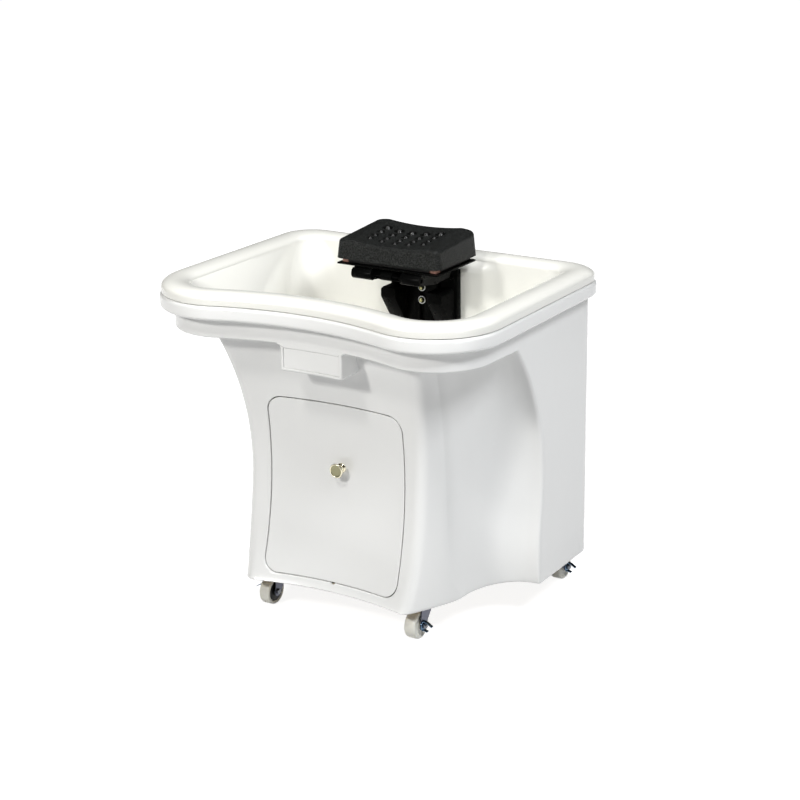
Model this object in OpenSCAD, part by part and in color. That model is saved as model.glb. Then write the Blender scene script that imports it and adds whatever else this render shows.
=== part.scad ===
// Mobile shampoo basin on four braked casters, with a head rest that slides and tilts.
// Millimetres, +Z up. The origin is on the floor under the middle of the rim.
// -Y is the client's side, with the neck hollow and the door. +X is to the right, seen from there.

/* [Rim] */
// Width over the cabinet's rim
rim_w = 660; // [630:1:700]
// Depth over the cabinet's rim, from the horns beside the neck hollow to the back
rim_d = 520; // [505:1:550]
// Height of the basin's rim above the floor
rim_top = 610; // [595:1:635]
// How far the neck hollow dips behind the horns
neck_dip = 34; // [26:1:40]
// Outer radius of the front corners
front_r = 124; // [114:1:132]
// Outer radius of the back corners
back_r = 62; // [54:1:72]
// Height of the basin's rim
flange_h = 23; // [19:1:27]
// Height of the cabinet's rim under it
cabinet_rim_h = 25; // [20:1:30]
// How far the basin's rim stands back from the cabinet's rim
flange_step = 3; // [1.5:0.1:5]
// Width of the rim from the outside to the bowl's edge
land_w = 55; // [50:1:60]
// Rounding along the cabinet rim's edges
rim_edge = 6; // [4:0.5:8]

/* [Cabinet] */
// Height of the cabinet's bottom edge above the floor
floor_gap = 65; // [61:1:66]
// Wall of the moulded cabinet
wall = 5; // [4:0.1:6]
// Height of the band under the cabinet's rim
band_h = 38; // [30:1:46]
// How far the band and the side panels stand back from the rim
band_inset = 23; // [19:1:27]
// The same at the front
band_front_inset = 27; // [23:1:31]
// The same at the back
back_inset = 8; // [8:0.5:14]
// Outer radius of the band's and the cabinet's back corners
box_back_r = 32; // [32:0.5:40]
// Radius of the dished front
face_r = 610; // [580:5:680]
// Depth of the dished front's middle behind the horns
face_setback = 145; // [135:1:152]
// Half the front's width at its narrowest
waist_half = 174; // [168:0.5:182]
// Height of the narrowest place above the cabinet's bottom
waist_rise = 175; // [150:1:200]
// How much each side of the front widens up to the band
flare_top = 31; // [22:1:36]
// How much each side of the front narrows down to the bottom
tuck = 10; // [6:0.5:18]
// Half the width between the two side scoops at mid height
scoop_half = 196; // [190:0.5:202]
// How much the scoops' inner sides spread up to the band and down to the bottom
scoop_flare = 19; // [14:0.5:24]
// Furthest place back of the side panel's front edge
panel_y = 56; // [40:1:70]
// Height of that place above the cabinet's bottom
panel_rise = 205; // [190:1:215]
// Radius of the side panel's front edge above that place
panel_r = 376; // [350:1:420]
// How far that edge weaves forward below it
panel_weave = 12; // [6:0.5:18]
// Rounding of the front's upright corners
face_corner = 18; // [14:0.5:24]
// How much deeper than wide the scoops' curve is
scoop_stretch = 1.4; // [1.2:0.05:1.45]
// Rounding of the side panel's front edge
panel_edge = 8; // [7:0.5:10]
// Hollow rounding under the band
cove = 12; // [8:0.5:16]

/* [Door] */
// Half the door's width
door_half = 137; // [128:0.5:142]
// Height of the door's lower edge above the cabinet's bottom
door_rise = 18; // [16:0.5:24]
// Height of the door
door_h = 320; // [300:1:330]
// Radius of the door's corners
door_r = 27; // [22:0.5:34]
// Gap round the door
door_gap = 1.3; // [0.8:0.1:2]
// Thickness of the door
door_t = 5; // [4:0.1:6]
// Thickness of the rebate frame behind the door
frame_t = 4; // [3.6:0.1:5]
// How far the rebate frame reaches behind the door's edge
frame_in = 14; // [13:0.5:18]
// How far it reaches behind the cabinet's wall
frame_out = 9; // [6:0.5:12]
// Height of the knob above the door's lower edge
knob_rise = 202; // [150:1:240]
// Diameter of the knob's disc
knob_d = 26; // [22:0.5:32]
// How far the knob stands out
knob_out = 20; // [16:0.5:26]
// Diameter of the door magnets and their strikes
magnet_d = 10; // [8:0.5:11]
// Half the width of the finger notch under the door
notch_r = 5; // [3.5:0.5:7]

/* [Label place] */
// Width of the blank label box under the band
label_w = 123; // [110:1:136]
// Height of the blank label box
label_h = 47; // [40:1:54]
// Width of its raised border
label_border = 5.5; // [4:0.5:8]
// Depth of its recess
label_recess = 2.2; // [1.8:0.1:3]
// Thickness of the blank plate in the recess
label_plate_t = 1.2; // [0.8:0.1:1.5]

/* [Bowl] */
// Depth of the bowl below the rim
bowl_depth = 172; // [160:1:178]
// Wall of the moulded basin
bowl_wall = 5; // [4:0.1:6]
// Room between the bowl and the cabinet's wall
bowl_room = 8; // [6:0.5:11]
// Radius of the bowl's front corners low down
bowl_front_r = 65; // [55:1:75]
// Radius of the bowl's back corners low down
bowl_back_r = 85; // [70:1:95]
// Fillet between the bowl's wall and floor
floor_fillet = 20; // [15:1:24]
// Half the width of the pillar's front, which carries the head rest
pillar_front = 83; // [76:1:88]
// Half the width of the pillar where it leaves the back wall
pillar_base = 138; // [126:1:144]
// Distance of the pillar's front from the back of the rim
pillar_in = 74.7; // [70:0.1:80]

/* [Drain] */
// Distance of the drain behind the middle
drain_y = 20; // [10:1:40]
// Radius of the flat round recess for the drain
recess_r = 44; // [42:0.5:48]
// Diameter of the hole in the bowl
drain_hole_d = 50; // [46:0.5:52]
// Outer diameter of the drain's lip
drain_lip_d = 80; // [74:0.5:82]
// Length of the drain's threaded tube
drain_tube_l = 34; // [30:1:40]
// Outer diameter of the tailpiece
tail_d = 32; // [30:0.5:34]
// Length of the tailpiece
tail_l = 70; // [50:1:90]
// Diameter of the hose hole in the base board
hose_hole_d = 90; // [70:1:110]

/* [Casters] */
// Diameter of the wheels
wheel_d = 50; // [47:0.5:51]
// Width of the wheels
wheel_w = 22; // [18:0.5:24]
// Height of the casters, from the floor to the top of the plate
caster_h = 67; // [66:0.5:70]
// How far the wheels trail behind the swivel pins
trail = 20; // [16:0.5:24]
// Side of the square mounting plates
plate_w = 36; // [34:0.5:38]
// Thickness of the mounting plates
plate_t = 2.5; // [2:0.1:3]
// How far the front swivel pins stand in from the front's narrowest place
front_caster_in = 21; // [18:0.5:28]
// How far the front swivel pins stand behind the dished front's middle
front_caster_back = 12; // [5:0.5:19]
// How far the rear swivel pins stand in from the rim's sides
rear_caster_in = 75; // [68:0.5:82]
// How far the rear swivel pins stand in from the back of the rim
rear_caster_back = 47; // [46:0.5:60]
// Diameter of the axle bolts
axle_d = 6; // [5:0.1:7]
// Diameter of the swivel pins
king_d = 8; // [7:0.1:9]
// Thickness of the forks' steel
fork_t = 2; // [1.6:0.1:2.4]
// Height of the ball race between the mounting plate and the fork
race_h = 4; // [3:0.1:5]
// How far the brake levers' ears stand out
ear_l = 18; // [12:0.5:20]
// Thickness of the base board
board_t = 12; // [9:0.5:13]

/* [Head rest] */
// Half the width of the bracket's back slab
bracket_half = 70; // [66:0.5:76]
// Height of the bracket's top below the rim
bracket_drop = 25; // [23:0.5:30]
// Height of the bracket
bracket_h = 122; // [114:1:124]
// Thickness of the bracket's back slab
bracket_t = 13.7; // [12:0.1:15]
// Half the width of the channel between the wings
channel_half = 33.3; // [31:0.1:36]
// Outer side of the wings
wing_half = 64; // [60:0.5:66]
// How far the wings stand out from the pillar
wing_out = 60; // [52:1:64]
// Height of the wings' top below the bracket's top
wing_drop = 35; // [32:0.5:42]
// Thickness of the sliding arm's plate
arm_t = 6; // [5:0.1:7]
// Width of the arm's slot
slot_w = 9; // [8.5:0.1:10]
// Diameter of the clamp bolts
clamp_d = 8; // [7:0.1:8]
// How far the tilt hinge stands in front of the arm's plate
hinge_reach = 119; // [109:1:123]
// Height of the tilt hinge below the rim
hinge_drop = 17; // [16:0.5:20]
// Outer diameter of the hinge barrels
barrel_d = 20; // [17:0.5:21]
// Diameter of the hinge pin
hinge_pin_d = 8; // [7:0.1:9]
// Half the width of the arm's knuckle
knuckle_half = 29.5; // [27:0.5:31]
// Length of each hinge barrel beside the knuckle
barrel_l = 40; // [34:0.5:44]
// Thickness of the steel tilt plate
tilt_t = 3; // [2.5:0.1:4]
// Thickness of the pillow's plywood board
ply_t = 7.7; // [6:0.1:9]
// How far the plywood stands back from the tilt plate's edge
ply_inset = 7; // [5:0.5:10]

/* [Pillow] */
// Width of the pillow and its plate
pillow_w = 208; // [190:1:220]
// Depth of the pillow and its plate
pillow_d = 138; // [126:1:142]
// Height of the pillow's front edge above its underside
pillow_front_h = 33.7; // [28:0.5:40]
// Height of its back edge
pillow_back_h = 48.7; // [42:0.5:56]
// How deep the top is dished across the middle
pillow_dish = 5; // [2:0.5:8]
// Rounding of the upper edges
pillow_round = 10; // [7:0.5:13]
// How much further out the underside's edge stands than the top's
pillow_draft = 3.4; // [1:0.1:5]
// Height of the massage nubs
nub_h = 2; // [1:0.1:3]
// Radius of the massage nubs
nub_r = 3.5; // [3:0.1:4.5]
// Distance between the columns of nubs
nub_col = 34; // [30:1:36]
// Distance between the rows of nubs
nub_row = 25; // [22:0.5:26]

/* [Hidden] */
$fn = 64;
wide_fn = 180;
seam = 0.3;
fit = 0.05;
slide_fit = 0.5;
eps = 0.01;

rim_half = rim_w / 2;
rim_front = -rim_d / 2;
rim_back = rim_d / 2;
seam_z = rim_top - flange_h;
rim_low = seam_z - cabinet_rim_h;
ledge_z = rim_low - band_h;
mid_z = (floor_gap + ledge_z) / 2;
box_half = rim_half - band_inset;
box_back = rim_back - back_inset;
band_front = rim_front + band_front_inset;
band_r = front_r - band_front_inset + 2;

cove_z = ledge_z - 2 - cove;
label_zc = ledge_z - label_h / 2;
face_mid_y = rim_front + face_setback;
face_cy = face_mid_y - face_r;
waist_z = floor_gap + waist_rise;
panel_z = floor_gap + panel_rise;

door_z0 = floor_gap + door_rise;
door_zc = door_z0 + door_h / 2;
knob_z = door_z0 + knob_rise;
frame_r0 = face_r + wall + seam;
frame_low = caster_h + board_t + seam;
magnet_x = door_half - frame_in / 2 + 1;
magnet_dz = door_h / 2 - door_r - magnet_d / 2;
screw_d = 4;

edge_z = rim_top - 12;
shoulder_z = ledge_z - wall;
floor_z = rim_top - bowl_depth;
bowl_low = floor_z + floor_fillet;
recess_z = floor_z - 4;

hub_half = wheel_w / 2 + 0.9;
leg_x = hub_half + seam;
axle_z = wheel_d / 2;
crown_z = caster_h - plate_t - race_h;
crown_t = 2.5;
king_head_t = 2;
lever_x = leg_x + fork_t + seam;
lever_t = 1.6;
nut_x = lever_x + lever_t + seam;
front_x = waist_half - front_caster_in;
front_y = face_mid_y + front_caster_back;
rear_x = rim_half - rear_caster_in;
rear_y = rim_back - rear_caster_back;
// Name, place, turn of the fork, and which side of the fork is the outer one
CASTERS = [
    ["front_left", -front_x, front_y, 0, -1],
    ["front_right", front_x, front_y, 0, 1],
    ["rear_left", -rear_x, rear_y, 180, 1],
    ["rear_right", rear_x, rear_y, 180, -1],
];

pillar_y = rim_back - pillar_in;
back_y = pillar_y - seam;
channel_y = back_y - bracket_t;
arm_y = channel_y - seam - arm_t;
bracket_top = rim_top - bracket_drop;
bracket_low = bracket_top - bracket_h;
wing_top = bracket_top - wing_drop;
wing_y = back_y - wing_out;
bolt_z = [wing_top - 3, wing_top - 27];
washer_t = 1.6;
mount_screw_z = bracket_top - 15;
mount_screw_x = bracket_half - 12;
slide_down = 8;
slide_up = 52;
hinge_y = arm_y - hinge_reach;
hinge_z = rim_top - hinge_drop;
tilt_z = hinge_z + barrel_d / 2 + 2;
ply_z = tilt_z + tilt_t + seam;
pillow_z = ply_z + ply_t + seam;
plate_y0 = hinge_y - 2;
plate_mid_y = plate_y0 + pillow_d / 2;
gusset_t = 4;
barrel_in = knuckle_half + slide_fit;
barrel_out = barrel_in + barrel_l;
// Three straight rows of nubs, and a bowed row of five behind them
NUBS = concat(
    [for (r = [0:2]) for (i = [-1.5:1.5]) [i * nub_col, plate_y0 + 14 + nub_row * r]],
    [for (i = [-2:2]) [i * 0.82 * nub_col, plate_y0 + 36 + 2 * nub_row + 6 * i * i]]
);

// Curves shared by the outlines
function lerp(a, b, t) = a + (b - a) * t;
function curve(p, q, r, t) = (1 - t) * (1 - t) * p + 2 * t * (1 - t) * q + t * t * r;
function clamp01(t) = min(1, max(0, t));
function unit(v) = v / norm(v);

// The front face is part of a sphere, hollow towards the client
function face_y(x, z) = face_cy + sqrt(face_r * face_r - x * x - (z - mid_z) * (z - mid_z));

// Half the width of the front at height z
function face_half(z) = z > waist_z
    ? waist_half + flare_top * pow((z - waist_z) / (ledge_z - waist_z), 2)
    : waist_half - tuck * pow((waist_z - z) / waist_rise, 2);

// Half the width between the scoops, and the side panel's front edge, at height z
function scoop_x(z) = scoop_half + scoop_flare * pow((z - mid_z) / (ledge_z - mid_z), 2);
function panel_front(z) = z > panel_z
    ? panel_y - panel_r + sqrt(panel_r * panel_r - (z - panel_z) * (z - panel_z))
    : panel_y - panel_weave * (1 - cos(180 * (panel_z - z) / 140)) / 2;

// Points along the back, where the bowl's pillar stands forward to y = yp
function back_line(yb, yp) = [
    for (x = [pillar_base + 8, pillar_base - 8, pillar_front + 8, pillar_front - 8, 0])
        [x, yb - (yb - yp) * clamp01((pillar_base - x) / (pillar_base - pillar_front))]
];

// Right half of a rim-like outline: neck hollow, front corner, side, back corner, back
function rim_half_path(hf, hb, yf, yn, yb, rf, rb, yk, yp) =
    let (
        a = hf - rf,
        b = yf + rf - yn,
        neck_r = (a * a + b * b - rf * rf) / (2 * (rf - b)),
        t = atan2(a, b + neck_r),
        y0 = yf + rf,
        y1 = yb - rb,
        ys = concat([for (i = [1:8]) lerp(y0, yk, i / 8)], [for (i = [1:2]) lerp(yk, y1, i / 2)])
    )
    concat(
        [for (i = [0:8]) [neck_r * sin(t * i / 8), yn - neck_r + neck_r * cos(t * i / 8)]],
        [for (f = concat([-90 - t / 2], [for (i = [0:6]) 15 * i - 90])) [a + rf * cos(f), y0 + rf * sin(f)]],
        [for (y = ys) [lerp(hf, hb, (y - y0) / (y1 - y0)), y]],
        [for (i = [1:5]) [hb - rb + rb * cos(18 * i), y1 + rb * sin(18 * i)]],
        back_line(yb, yp)
    );

// Right half of the cabinet's outline at height z: dished front, corner, scoop, panel, back
function cabinet_half_path(z) =
    let (
        w = face_half(z),
        xs = scoop_x(z),
        r = box_half - panel_edge - xs,
        d = scoop_stretch * r,
        ye = panel_front(z),
        x0 = w - face_corner,
        corner = [w, face_y(w, z)],
        side1 = [xs, ye - d],
        knee = [xs, lerp(corner.y, side1.y, 0.8)],
        side0 = corner + face_corner * unit(knee - corner),
        arc_end = [xs + r, ye],
        rb = box_back_r
    )
    concat(
        [for (i = [0:8]) [x0 * i / 8, face_y(x0 * i / 8, z)]],
        [for (i = [1:4]) curve([x0, face_y(x0, z)], corner, side0, i / 4)],
        [for (i = [1:4]) curve(side0, knee, side1, i / 4)],
        [for (i = [1:6]) [arc_end.x - r * cos(15 * i), ye - d + d * sin(15 * i)]],
        [for (i = [1:2]) curve(arc_end, [box_half, ye], [box_half, ye + panel_edge], i / 2)],
        [for (i = [1:2]) [box_half, lerp(ye + panel_edge, box_back - rb, i / 2)]],
        [for (i = [1:5]) [box_half - rb + rb * cos(18 * i), box_back - rb + rb * sin(18 * i)]],
        back_line(box_back, box_back)
    );

function mirrored(half) = concat(half, [for (i = [len(half) - 2:-1:1]) [-half[i].x, half[i].y]]);
function at_z(points, z) = [for (p = points) [p.x, p.y, z]];

// Moves each point of a ring inwards by its own distance
function inset(points, d) = let (n = len(points)) [
    for (i = [0:n - 1])
        let (t = unit(points[(i + 1) % n] - points[(i + n - 1) % n]))
        points[i] + (is_list(d) ? d[i] : d) * [-t.y, t.x]
];

// The cabinet's rim, the band under it, and the basin's rim, i inside the cabinet's rim
function rim_ring(i) = mirrored(rim_half_path(
    rim_half - i, rim_half - i, rim_front + i, rim_front + neck_dip + i, rim_back - i,
    front_r - i, lerp(back_r, 40, i / land_w), panel_front(ledge_z) + panel_edge, rim_back - i
));
function band_ring(grow = 0) = mirrored(rim_half_path(
    box_half + grow, box_half + grow, band_front - grow, band_front + neck_dip - grow, box_back + 0.2 * grow,
    band_r + grow, box_back_r + grow, panel_front(ledge_z) + panel_edge, box_back + 0.2 * grow
));

// 1 along the front and the scoops, falling to 0 where the side panels start
LEDGE_HALF = [for (i = [0:36]) clamp01((22 - i) / 6)];
LEDGE = concat(LEDGE_HALF, [for (i = [35:-1:1]) LEDGE_HALF[i]]);

// The bowl's inner ring at height z
function bowl_ring(z) =
    let (
        low = min(z, shoulder_z),
        room = wall + bowl_wall + bowl_room,
        hf = face_half(low) - room,
        yn = face_y(0, low) + room,
        yf = face_y(hf - bowl_front_r, low) + room,
        e = sin(90 * clamp01((edge_z - z) / (edge_z - shoulder_z))),
        top = rim_half - land_w,
        depth = edge_z - z,
        rise = clamp01(depth / 14)
    )
    mirrored(rim_half_path(
        lerp(top, hf, e), top - 0.22 * depth,
        lerp(rim_front + land_w, yf, e), lerp(rim_front + neck_dip + land_w, yn, e),
        rim_back - land_w - 0.05 * depth,
        lerp(front_r - land_w, bowl_front_r, e), lerp(40, bowl_back_r, e),
        0, lerp(rim_back - land_w, pillar_y, rise)
    ));

// Faces of a stack of rings of n points each, closed as a tube, or on itself when round is true
function skin(n, rings, round) = [
    for (k = [0:rings - (round ? 1 : 2)]) for (i = [0:n - 1])
        let (
            a = k * n + i,
            b = k * n + (i + 1) % n,
            c = ((k + 1) % rings) * n + (i + 1) % n,
            d = ((k + 1) % rings) * n + i
        )
        each [[a, c, b], [a, d, c]]
];

module stack(rings, round = false) {
    n = len(rings[0]);
    m = len(rings);
    caps = round ? [] : [[for (i = [0:n - 1]) i], [for (i = [n - 1:-1:0]) (m - 1) * n + i]];
    polyhedron(points = [for (r = rings) each r], faces = concat(caps, skin(n, m, round)));
}

module round_rect(w, h, r) {
    square([w - 2 * r, h], center = true);
    square([w, h - 2 * r], center = true);
    for (x = [-1, 1], y = [-1, 1]) translate([x * (w / 2 - r), y * (h / 2 - r)]) circle(r);
}

// A prism along Y over a rounded rectangle in the XZ plane
module door_prism(w, h, r, zc) {
    translate([0, 0, zc]) rotate([90, 0, 0])
        linear_extrude(height = 2 * box_back, center = true) round_rect(w, h, r);
}

module ball(r) {
    translate([0, face_cy, mid_z]) sphere(r, $fn = wide_fn);
}

// Puts its children on the dished front over x and z, with +Z pointing away from the client
module on_face(x, z, r) {
    e = asin((z - mid_z) / r);
    a = asin(x / (r * cos(e)));
    translate([0, face_cy, mid_z]) rotate([0, 0, -a]) rotate([e, 0, 0])
        translate([0, r, 0]) rotate([-90, 0, 0]) children();
}

module tube(d, bore, h) {
    difference() {
        cylinder(d = d, h = h);
        translate([0, 0, -1]) cylinder(d = bore, h = h + 2);
    }
}

module x_rod(d, x0, x1) {
    translate([x0, 0, 0]) rotate([0, 90, 0]) cylinder(d = d, h = x1 - x0);
}

module cabinet_shell() {
    outer = concat(
        [for (k = [0:12]) let (z = lerp(floor_gap, cove_z, k / 12)) at_z(mirrored(cabinet_half_path(z)), z)],
        [for (a = [30, 60, 90])
            let (z = cove_z + cove * sin(a))
            at_z(inset(mirrored(cabinet_half_path(z)), -cove * (1 - cos(a)) * LEDGE), z)],
        [
            at_z(inset(band_ring(), 3.5 * LEDGE), ledge_z + 0.5),
            at_z(band_ring(), ledge_z + 4),
            at_z(band_ring(), rim_low - 1),
            at_z(band_ring(2), rim_low),
            at_z(rim_ring(rim_edge), rim_low),
            at_z(rim_ring(rim_edge * 0.3), rim_low + rim_edge * 0.3),
            at_z(rim_ring(0), rim_low + rim_edge),
            at_z(rim_ring(0), seam_z - rim_edge),
            at_z(rim_ring(rim_edge * 0.3), seam_z - rim_edge * 0.3),
            at_z(rim_ring(rim_edge), seam_z),
        ]
    );
    inner = concat(
        [
            at_z(inset(band_ring(), wall), seam_z),
            at_z(inset(band_ring(), wall), ledge_z + 2 + wall),
            at_z(inset(mirrored(cabinet_half_path(ledge_z)), wall), ledge_z - 1 + wall),
        ],
        [for (k = [6:-1:0])
            let (z = lerp(floor_gap, cove_z, k / 6))
            at_z(inset(mirrored(cabinet_half_path(z)), wall), z)]
    );
    color("white") difference() {
        stack(concat(outer, inner), true);
        intersection() {
            union() {
                door_prism(2 * (door_half + door_gap), door_h + 2 * door_gap, door_r + door_gap, door_zc);
                translate([0, 0, door_z0]) rotate([90, 0, 0]) cylinder(r = notch_r, h = box_back);
            }
            translate([-rim_half, -box_back, 0]) cube([rim_w, box_back, ledge_z]);
        }
    }
}

module basin() {
    drain = [0, drain_y];
    room = bowl_wall;
    fillet = [0, 30, 60, 90];
    foot = bowl_ring(bowl_low);
    walls = [for (k = [1:6]) lerp(bowl_low, edge_z, k / 6)];
    function round_hole(r) = [for (p = foot) drain + r * unit(p - drain)];
    function floor_ring(a, r, d) = at_z(inset(foot, d + r * (1 - cos(a))), bowl_low - r * sin(a));
    outer = concat(
        [at_z(round_hole(recess_r + room), recess_z - room)],
        [for (k = [3:-1:0]) floor_ring(fillet[k], floor_fillet + room, -room)],
        [for (k = [0:5]) at_z(inset(bowl_ring(walls[k]), -room), walls[k])]
    );
    rim = [
        at_z(rim_ring(land_w - 10), rim_top - 7),
        at_z(rim_ring(flange_step + 7), rim_top - 7),
        at_z(rim_ring(flange_step + 7), seam_z + seam),
        at_z(rim_ring(flange_step + 1), seam_z + seam),
        at_z(rim_ring(flange_step), seam_z + seam + 1),
        at_z(rim_ring(flange_step), rim_top - 13),
        at_z(rim_ring(flange_step + 2.5), rim_top - 7),
        at_z(rim_ring(flange_step + 7), rim_top - 3),
        at_z(rim_ring(flange_step + 15), rim_top - 0.6),
        at_z(rim_ring(land_w / 2), rim_top),
        at_z(rim_ring(land_w - 10), rim_top - 0.6),
        at_z(rim_ring(land_w - 4), rim_top - 3),
        at_z(rim_ring(land_w - 1), rim_top - 7),
    ];
    inner = concat(
        [for (k = [5:-1:0]) at_z(bowl_ring(walls[k]), walls[k])],
        [for (a = fillet) floor_ring(a, floor_fillet, 0)],
        [at_z(round_hole(recess_r + 4), floor_z - 1), at_z(round_hole(recess_r), recess_z)]
    );
    color("ivory") difference() {
        stack(concat(outer, rim, inner));
        translate([0, drain_y, recess_z - room - 1]) cylinder(d = drain_hole_d, h = room + 2);
        bracket_holes(pillar_y - 1, room + 2, 1);
    }
}

module base_board() {
    top = caster_h + board_t;
    color("burlywood") difference() {
        translate([0, 0, caster_h]) linear_extrude(height = board_t) intersection() {
            polygon(inset(mirrored(cabinet_half_path(caster_h)), wall + slide_fit));
            polygon(inset(mirrored(cabinet_half_path(top)), wall + slide_fit));
        }
        translate([0, drain_y, caster_h - 1]) cylinder(d = hose_hole_d, h = board_t + 2);
        caster_places() plate_holes(caster_h - 1, board_t - 3);
    }
}

module door_frame() {
    low = frame_low;
    high = door_zc + door_h / 2 + frame_out;
    color("whitesmoke") difference() {
        intersection() {
            difference() {
                ball(frame_r0 + frame_t);
                ball(frame_r0);
            }
            door_prism(2 * (door_half + frame_out), high - low, door_r + frame_out, (high + low) / 2);
            translate([-rim_half, -box_back, 0]) cube([rim_w, box_back, ledge_z]);
        }
        door_prism(2 * (door_half - frame_in), door_h - 2 * frame_in, door_r - frame_in + 4, door_zc);
        magnet_places(frame_r0) translate([0, 0, -1]) cylinder(d = magnet_d + 2 * fit, h = 3.5);
    }
}

module magnet_places(r) {
    for (x = [-magnet_x, magnet_x], z = [-magnet_dz, magnet_dz]) on_face(x, door_zc + z, r) children();
}

module door_magnets() {
    color("dimgray") magnet_places(frame_r0) translate([0, 0, 0.1]) cylinder(d = magnet_d, h = 2.3);
}

module door_strikes() {
    color("silver") magnet_places(face_r + door_t) translate([0, 0, -1]) cylinder(d = magnet_d, h = 1);
}

module door_panel() {
    color("white") difference() {
        intersection() {
            difference() {
                ball(face_r + door_t);
                ball(face_r);
            }
            door_prism(2 * door_half, door_h, door_r, door_zc);
            translate([-rim_half, -box_back, 0]) cube([rim_w, box_back, ledge_z]);
        }
        magnet_places(face_r + door_t) translate([0, 0, -1 - fit]) cylinder(d = magnet_d + 2 * fit, h = 3);
        translate([0, face_mid_y - 5, knob_z]) rotate([-90, 0, 0]) cylinder(d = screw_d + 2 * fit, h = 20);
    }
}

module knob_turned() {
    translate([0, face_mid_y - seam, knob_z]) rotate([90, 0, 0]) children();
}

rosette_t = 3;

module knob_rosette() {
    bore = screw_d / 2 + fit;
    color("tan") knob_turned() rotate_extrude()
        polygon([[bore, 0], [9, 0], [9, 1.2], [7, rosette_t], [bore, rosette_t]]);
}

module door_knob() {
    r = knob_d / 2;
    h = knob_out;
    bore = screw_d / 2 + fit;
    color("tan") knob_turned() translate([0, 0, rosette_t + eps]) rotate_extrude() polygon([
        [bore, 0], [6, 0], [4.5, 2], [4.2, h - 12], [6, h - 10.5], [r - 1.5, h - 9.5], [r, h - 8],
        [r, h - 5], [r - 1, h - 4], [r - 2.2, h - 4], [r - 3, h - 4.8], [0, h - 4.8], [0, 8], [bore, 8],
    ]);
}

module knob_screw() {
    y0 = face_mid_y + door_t + 0.1;
    color("silver") translate([0, y0, knob_z]) rotate([-90, 0, 0]) {
        cylinder(d1 = 8, d2 = 6, h = 2.4);
        translate([0, 0, -15]) cylinder(d = screw_d, h = 15 + eps);
    }
}

// The space in front of the face: a round body about the face's upright axis, drawn in under the band's cove
module label_space() {
    function face_ring(z) = sqrt(face_r * face_r - (z - mid_z) * (z - mid_z)) - 2 * seam;
    low = ledge_z - 2 * label_h;
    side = concat(
        [for (k = [0:6]) let (z = lerp(low, cove_z, k / 6)) [face_ring(z), z]],
        [for (a = [30, 60, 90])
            let (z = cove_z + cove * sin(a)) [face_ring(z) - cove * (1 - cos(a)), z - 2 * seam]]
    );
    translate([0, face_cy, 0]) rotate_extrude($fn = wide_fn)
        polygon(concat([[0, low]], side, [[band_front + neck_dip - face_cy, ledge_z], [0, ledge_z]]));
}

module label_body(w, r, depth) {
    difference() {
        intersection() {
            door_prism(w, 2 * label_h, r, ledge_z);
            label_space();
            translate([-rim_half, rim_front, 0]) cube([rim_w, -rim_front, ledge_z]);
        }
        translate([0, band_neck_y(), 0]) cylinder(r = band_neck_r() + depth, h = rim_top, $fn = wide_fn);
    }
}

// The band's hollow front is part of a round wall of this radius and centre
function band_b() = band_r - neck_dip;
function band_a() = box_half - band_r;
function band_neck_r() =
    (band_a() * band_a() + band_b() * band_b() - band_r * band_r) / (2 * (band_r - band_b()));
function band_neck_y() = band_front + neck_dip - band_neck_r();

module label_frame() {
    inner_w = label_w - 2 * label_border;
    inner_h = label_h - 2 * label_border;
    color("white") difference() {
        label_body(label_w, 4, 0);
        intersection() {
            translate([0, band_neck_y(), 0]) cylinder(r = band_neck_r() + label_recess, h = rim_top, $fn = wide_fn);
            door_prism(inner_w, inner_h, 2, label_zc);
            translate([-rim_half, rim_front, 0]) cube([rim_w, -rim_front, ledge_z]);
        }
    }
}

module label_plate() {
    w = label_w - 2 * label_border - 2 * slide_fit;
    h = label_h - 2 * label_border - 2 * slide_fit;
    r0 = band_neck_r() + label_recess - label_plate_t - fit;
    color("gainsboro") intersection() {
        translate([0, band_neck_y(), 0]) difference() {
            cylinder(r = r0 + label_plate_t, h = rim_top, $fn = wide_fn);
            cylinder(r = r0, h = rim_top, $fn = wide_fn);
        }
        door_prism(w, h, 1.6, label_zc);
        translate([-rim_half, rim_front, 0]) cube([rim_w, -rim_front, ledge_z]);
    }
}

module at_drain(z) {
    translate([0, drain_y, z]) children();
}

drain_lip_z = recess_z + seam;
drain_tube_d = drain_hole_d - 2;
tube_low = recess_z - drain_tube_l;
strainer_z = drain_lip_z - 1;

module drain_body() {
    color("silver") at_drain(0) rotate_extrude() polygon([
        [18, tube_low], [drain_tube_d / 2, tube_low], [drain_tube_d / 2, drain_lip_z], [drain_lip_d / 2, drain_lip_z],
        [drain_lip_d / 2 - 1, drain_lip_z + 1.6], [23, drain_lip_z + 2.2], [21, drain_lip_z + 1.4],
        [21, strainer_z], [18, strainer_z],
    ]);
}

module drain_strainer() {
    color("gainsboro") at_drain(strainer_z + seam) difference() {
        union() {
            cylinder(d = 41, h = 1.6);
            cylinder(d = 7, h = 9);
            translate([0, 0, 9 - eps]) cylinder(d1 = 7, d2 = 12, h = 3);
        }
        for (i = [0:7]) rotate(45 * i) translate([12.5, 0, -1]) cylinder(d = 5, h = 4);
        for (i = [0:7]) rotate(45 * i + 22.5) translate([17, 0, -1]) cylinder(d = 3.5, h = 4);
    }
}

gasket_t = 3;
locknut_h = 8;
gasket_z = recess_z - bowl_wall - seam - gasket_t;
tail_collar = 2;
tail_nut_floor = 3;
tail_shoulder = 7;
tail_shoulder_d = tail_d + 1.2;

module drain_gasket() {
    color("black") at_drain(gasket_z) tube(drain_lip_d - 4, drain_tube_d + 0.4, gasket_t);
}

module drain_locknut() {
    color("dimgray") at_drain(gasket_z - seam - locknut_h) difference() {
        cylinder(d = drain_hole_d + 20, h = locknut_h, $fn = 8);
        translate([0, 0, -1]) cylinder(d = drain_tube_d + 2 * fit, h = locknut_h + 2);
    }
}

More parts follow.
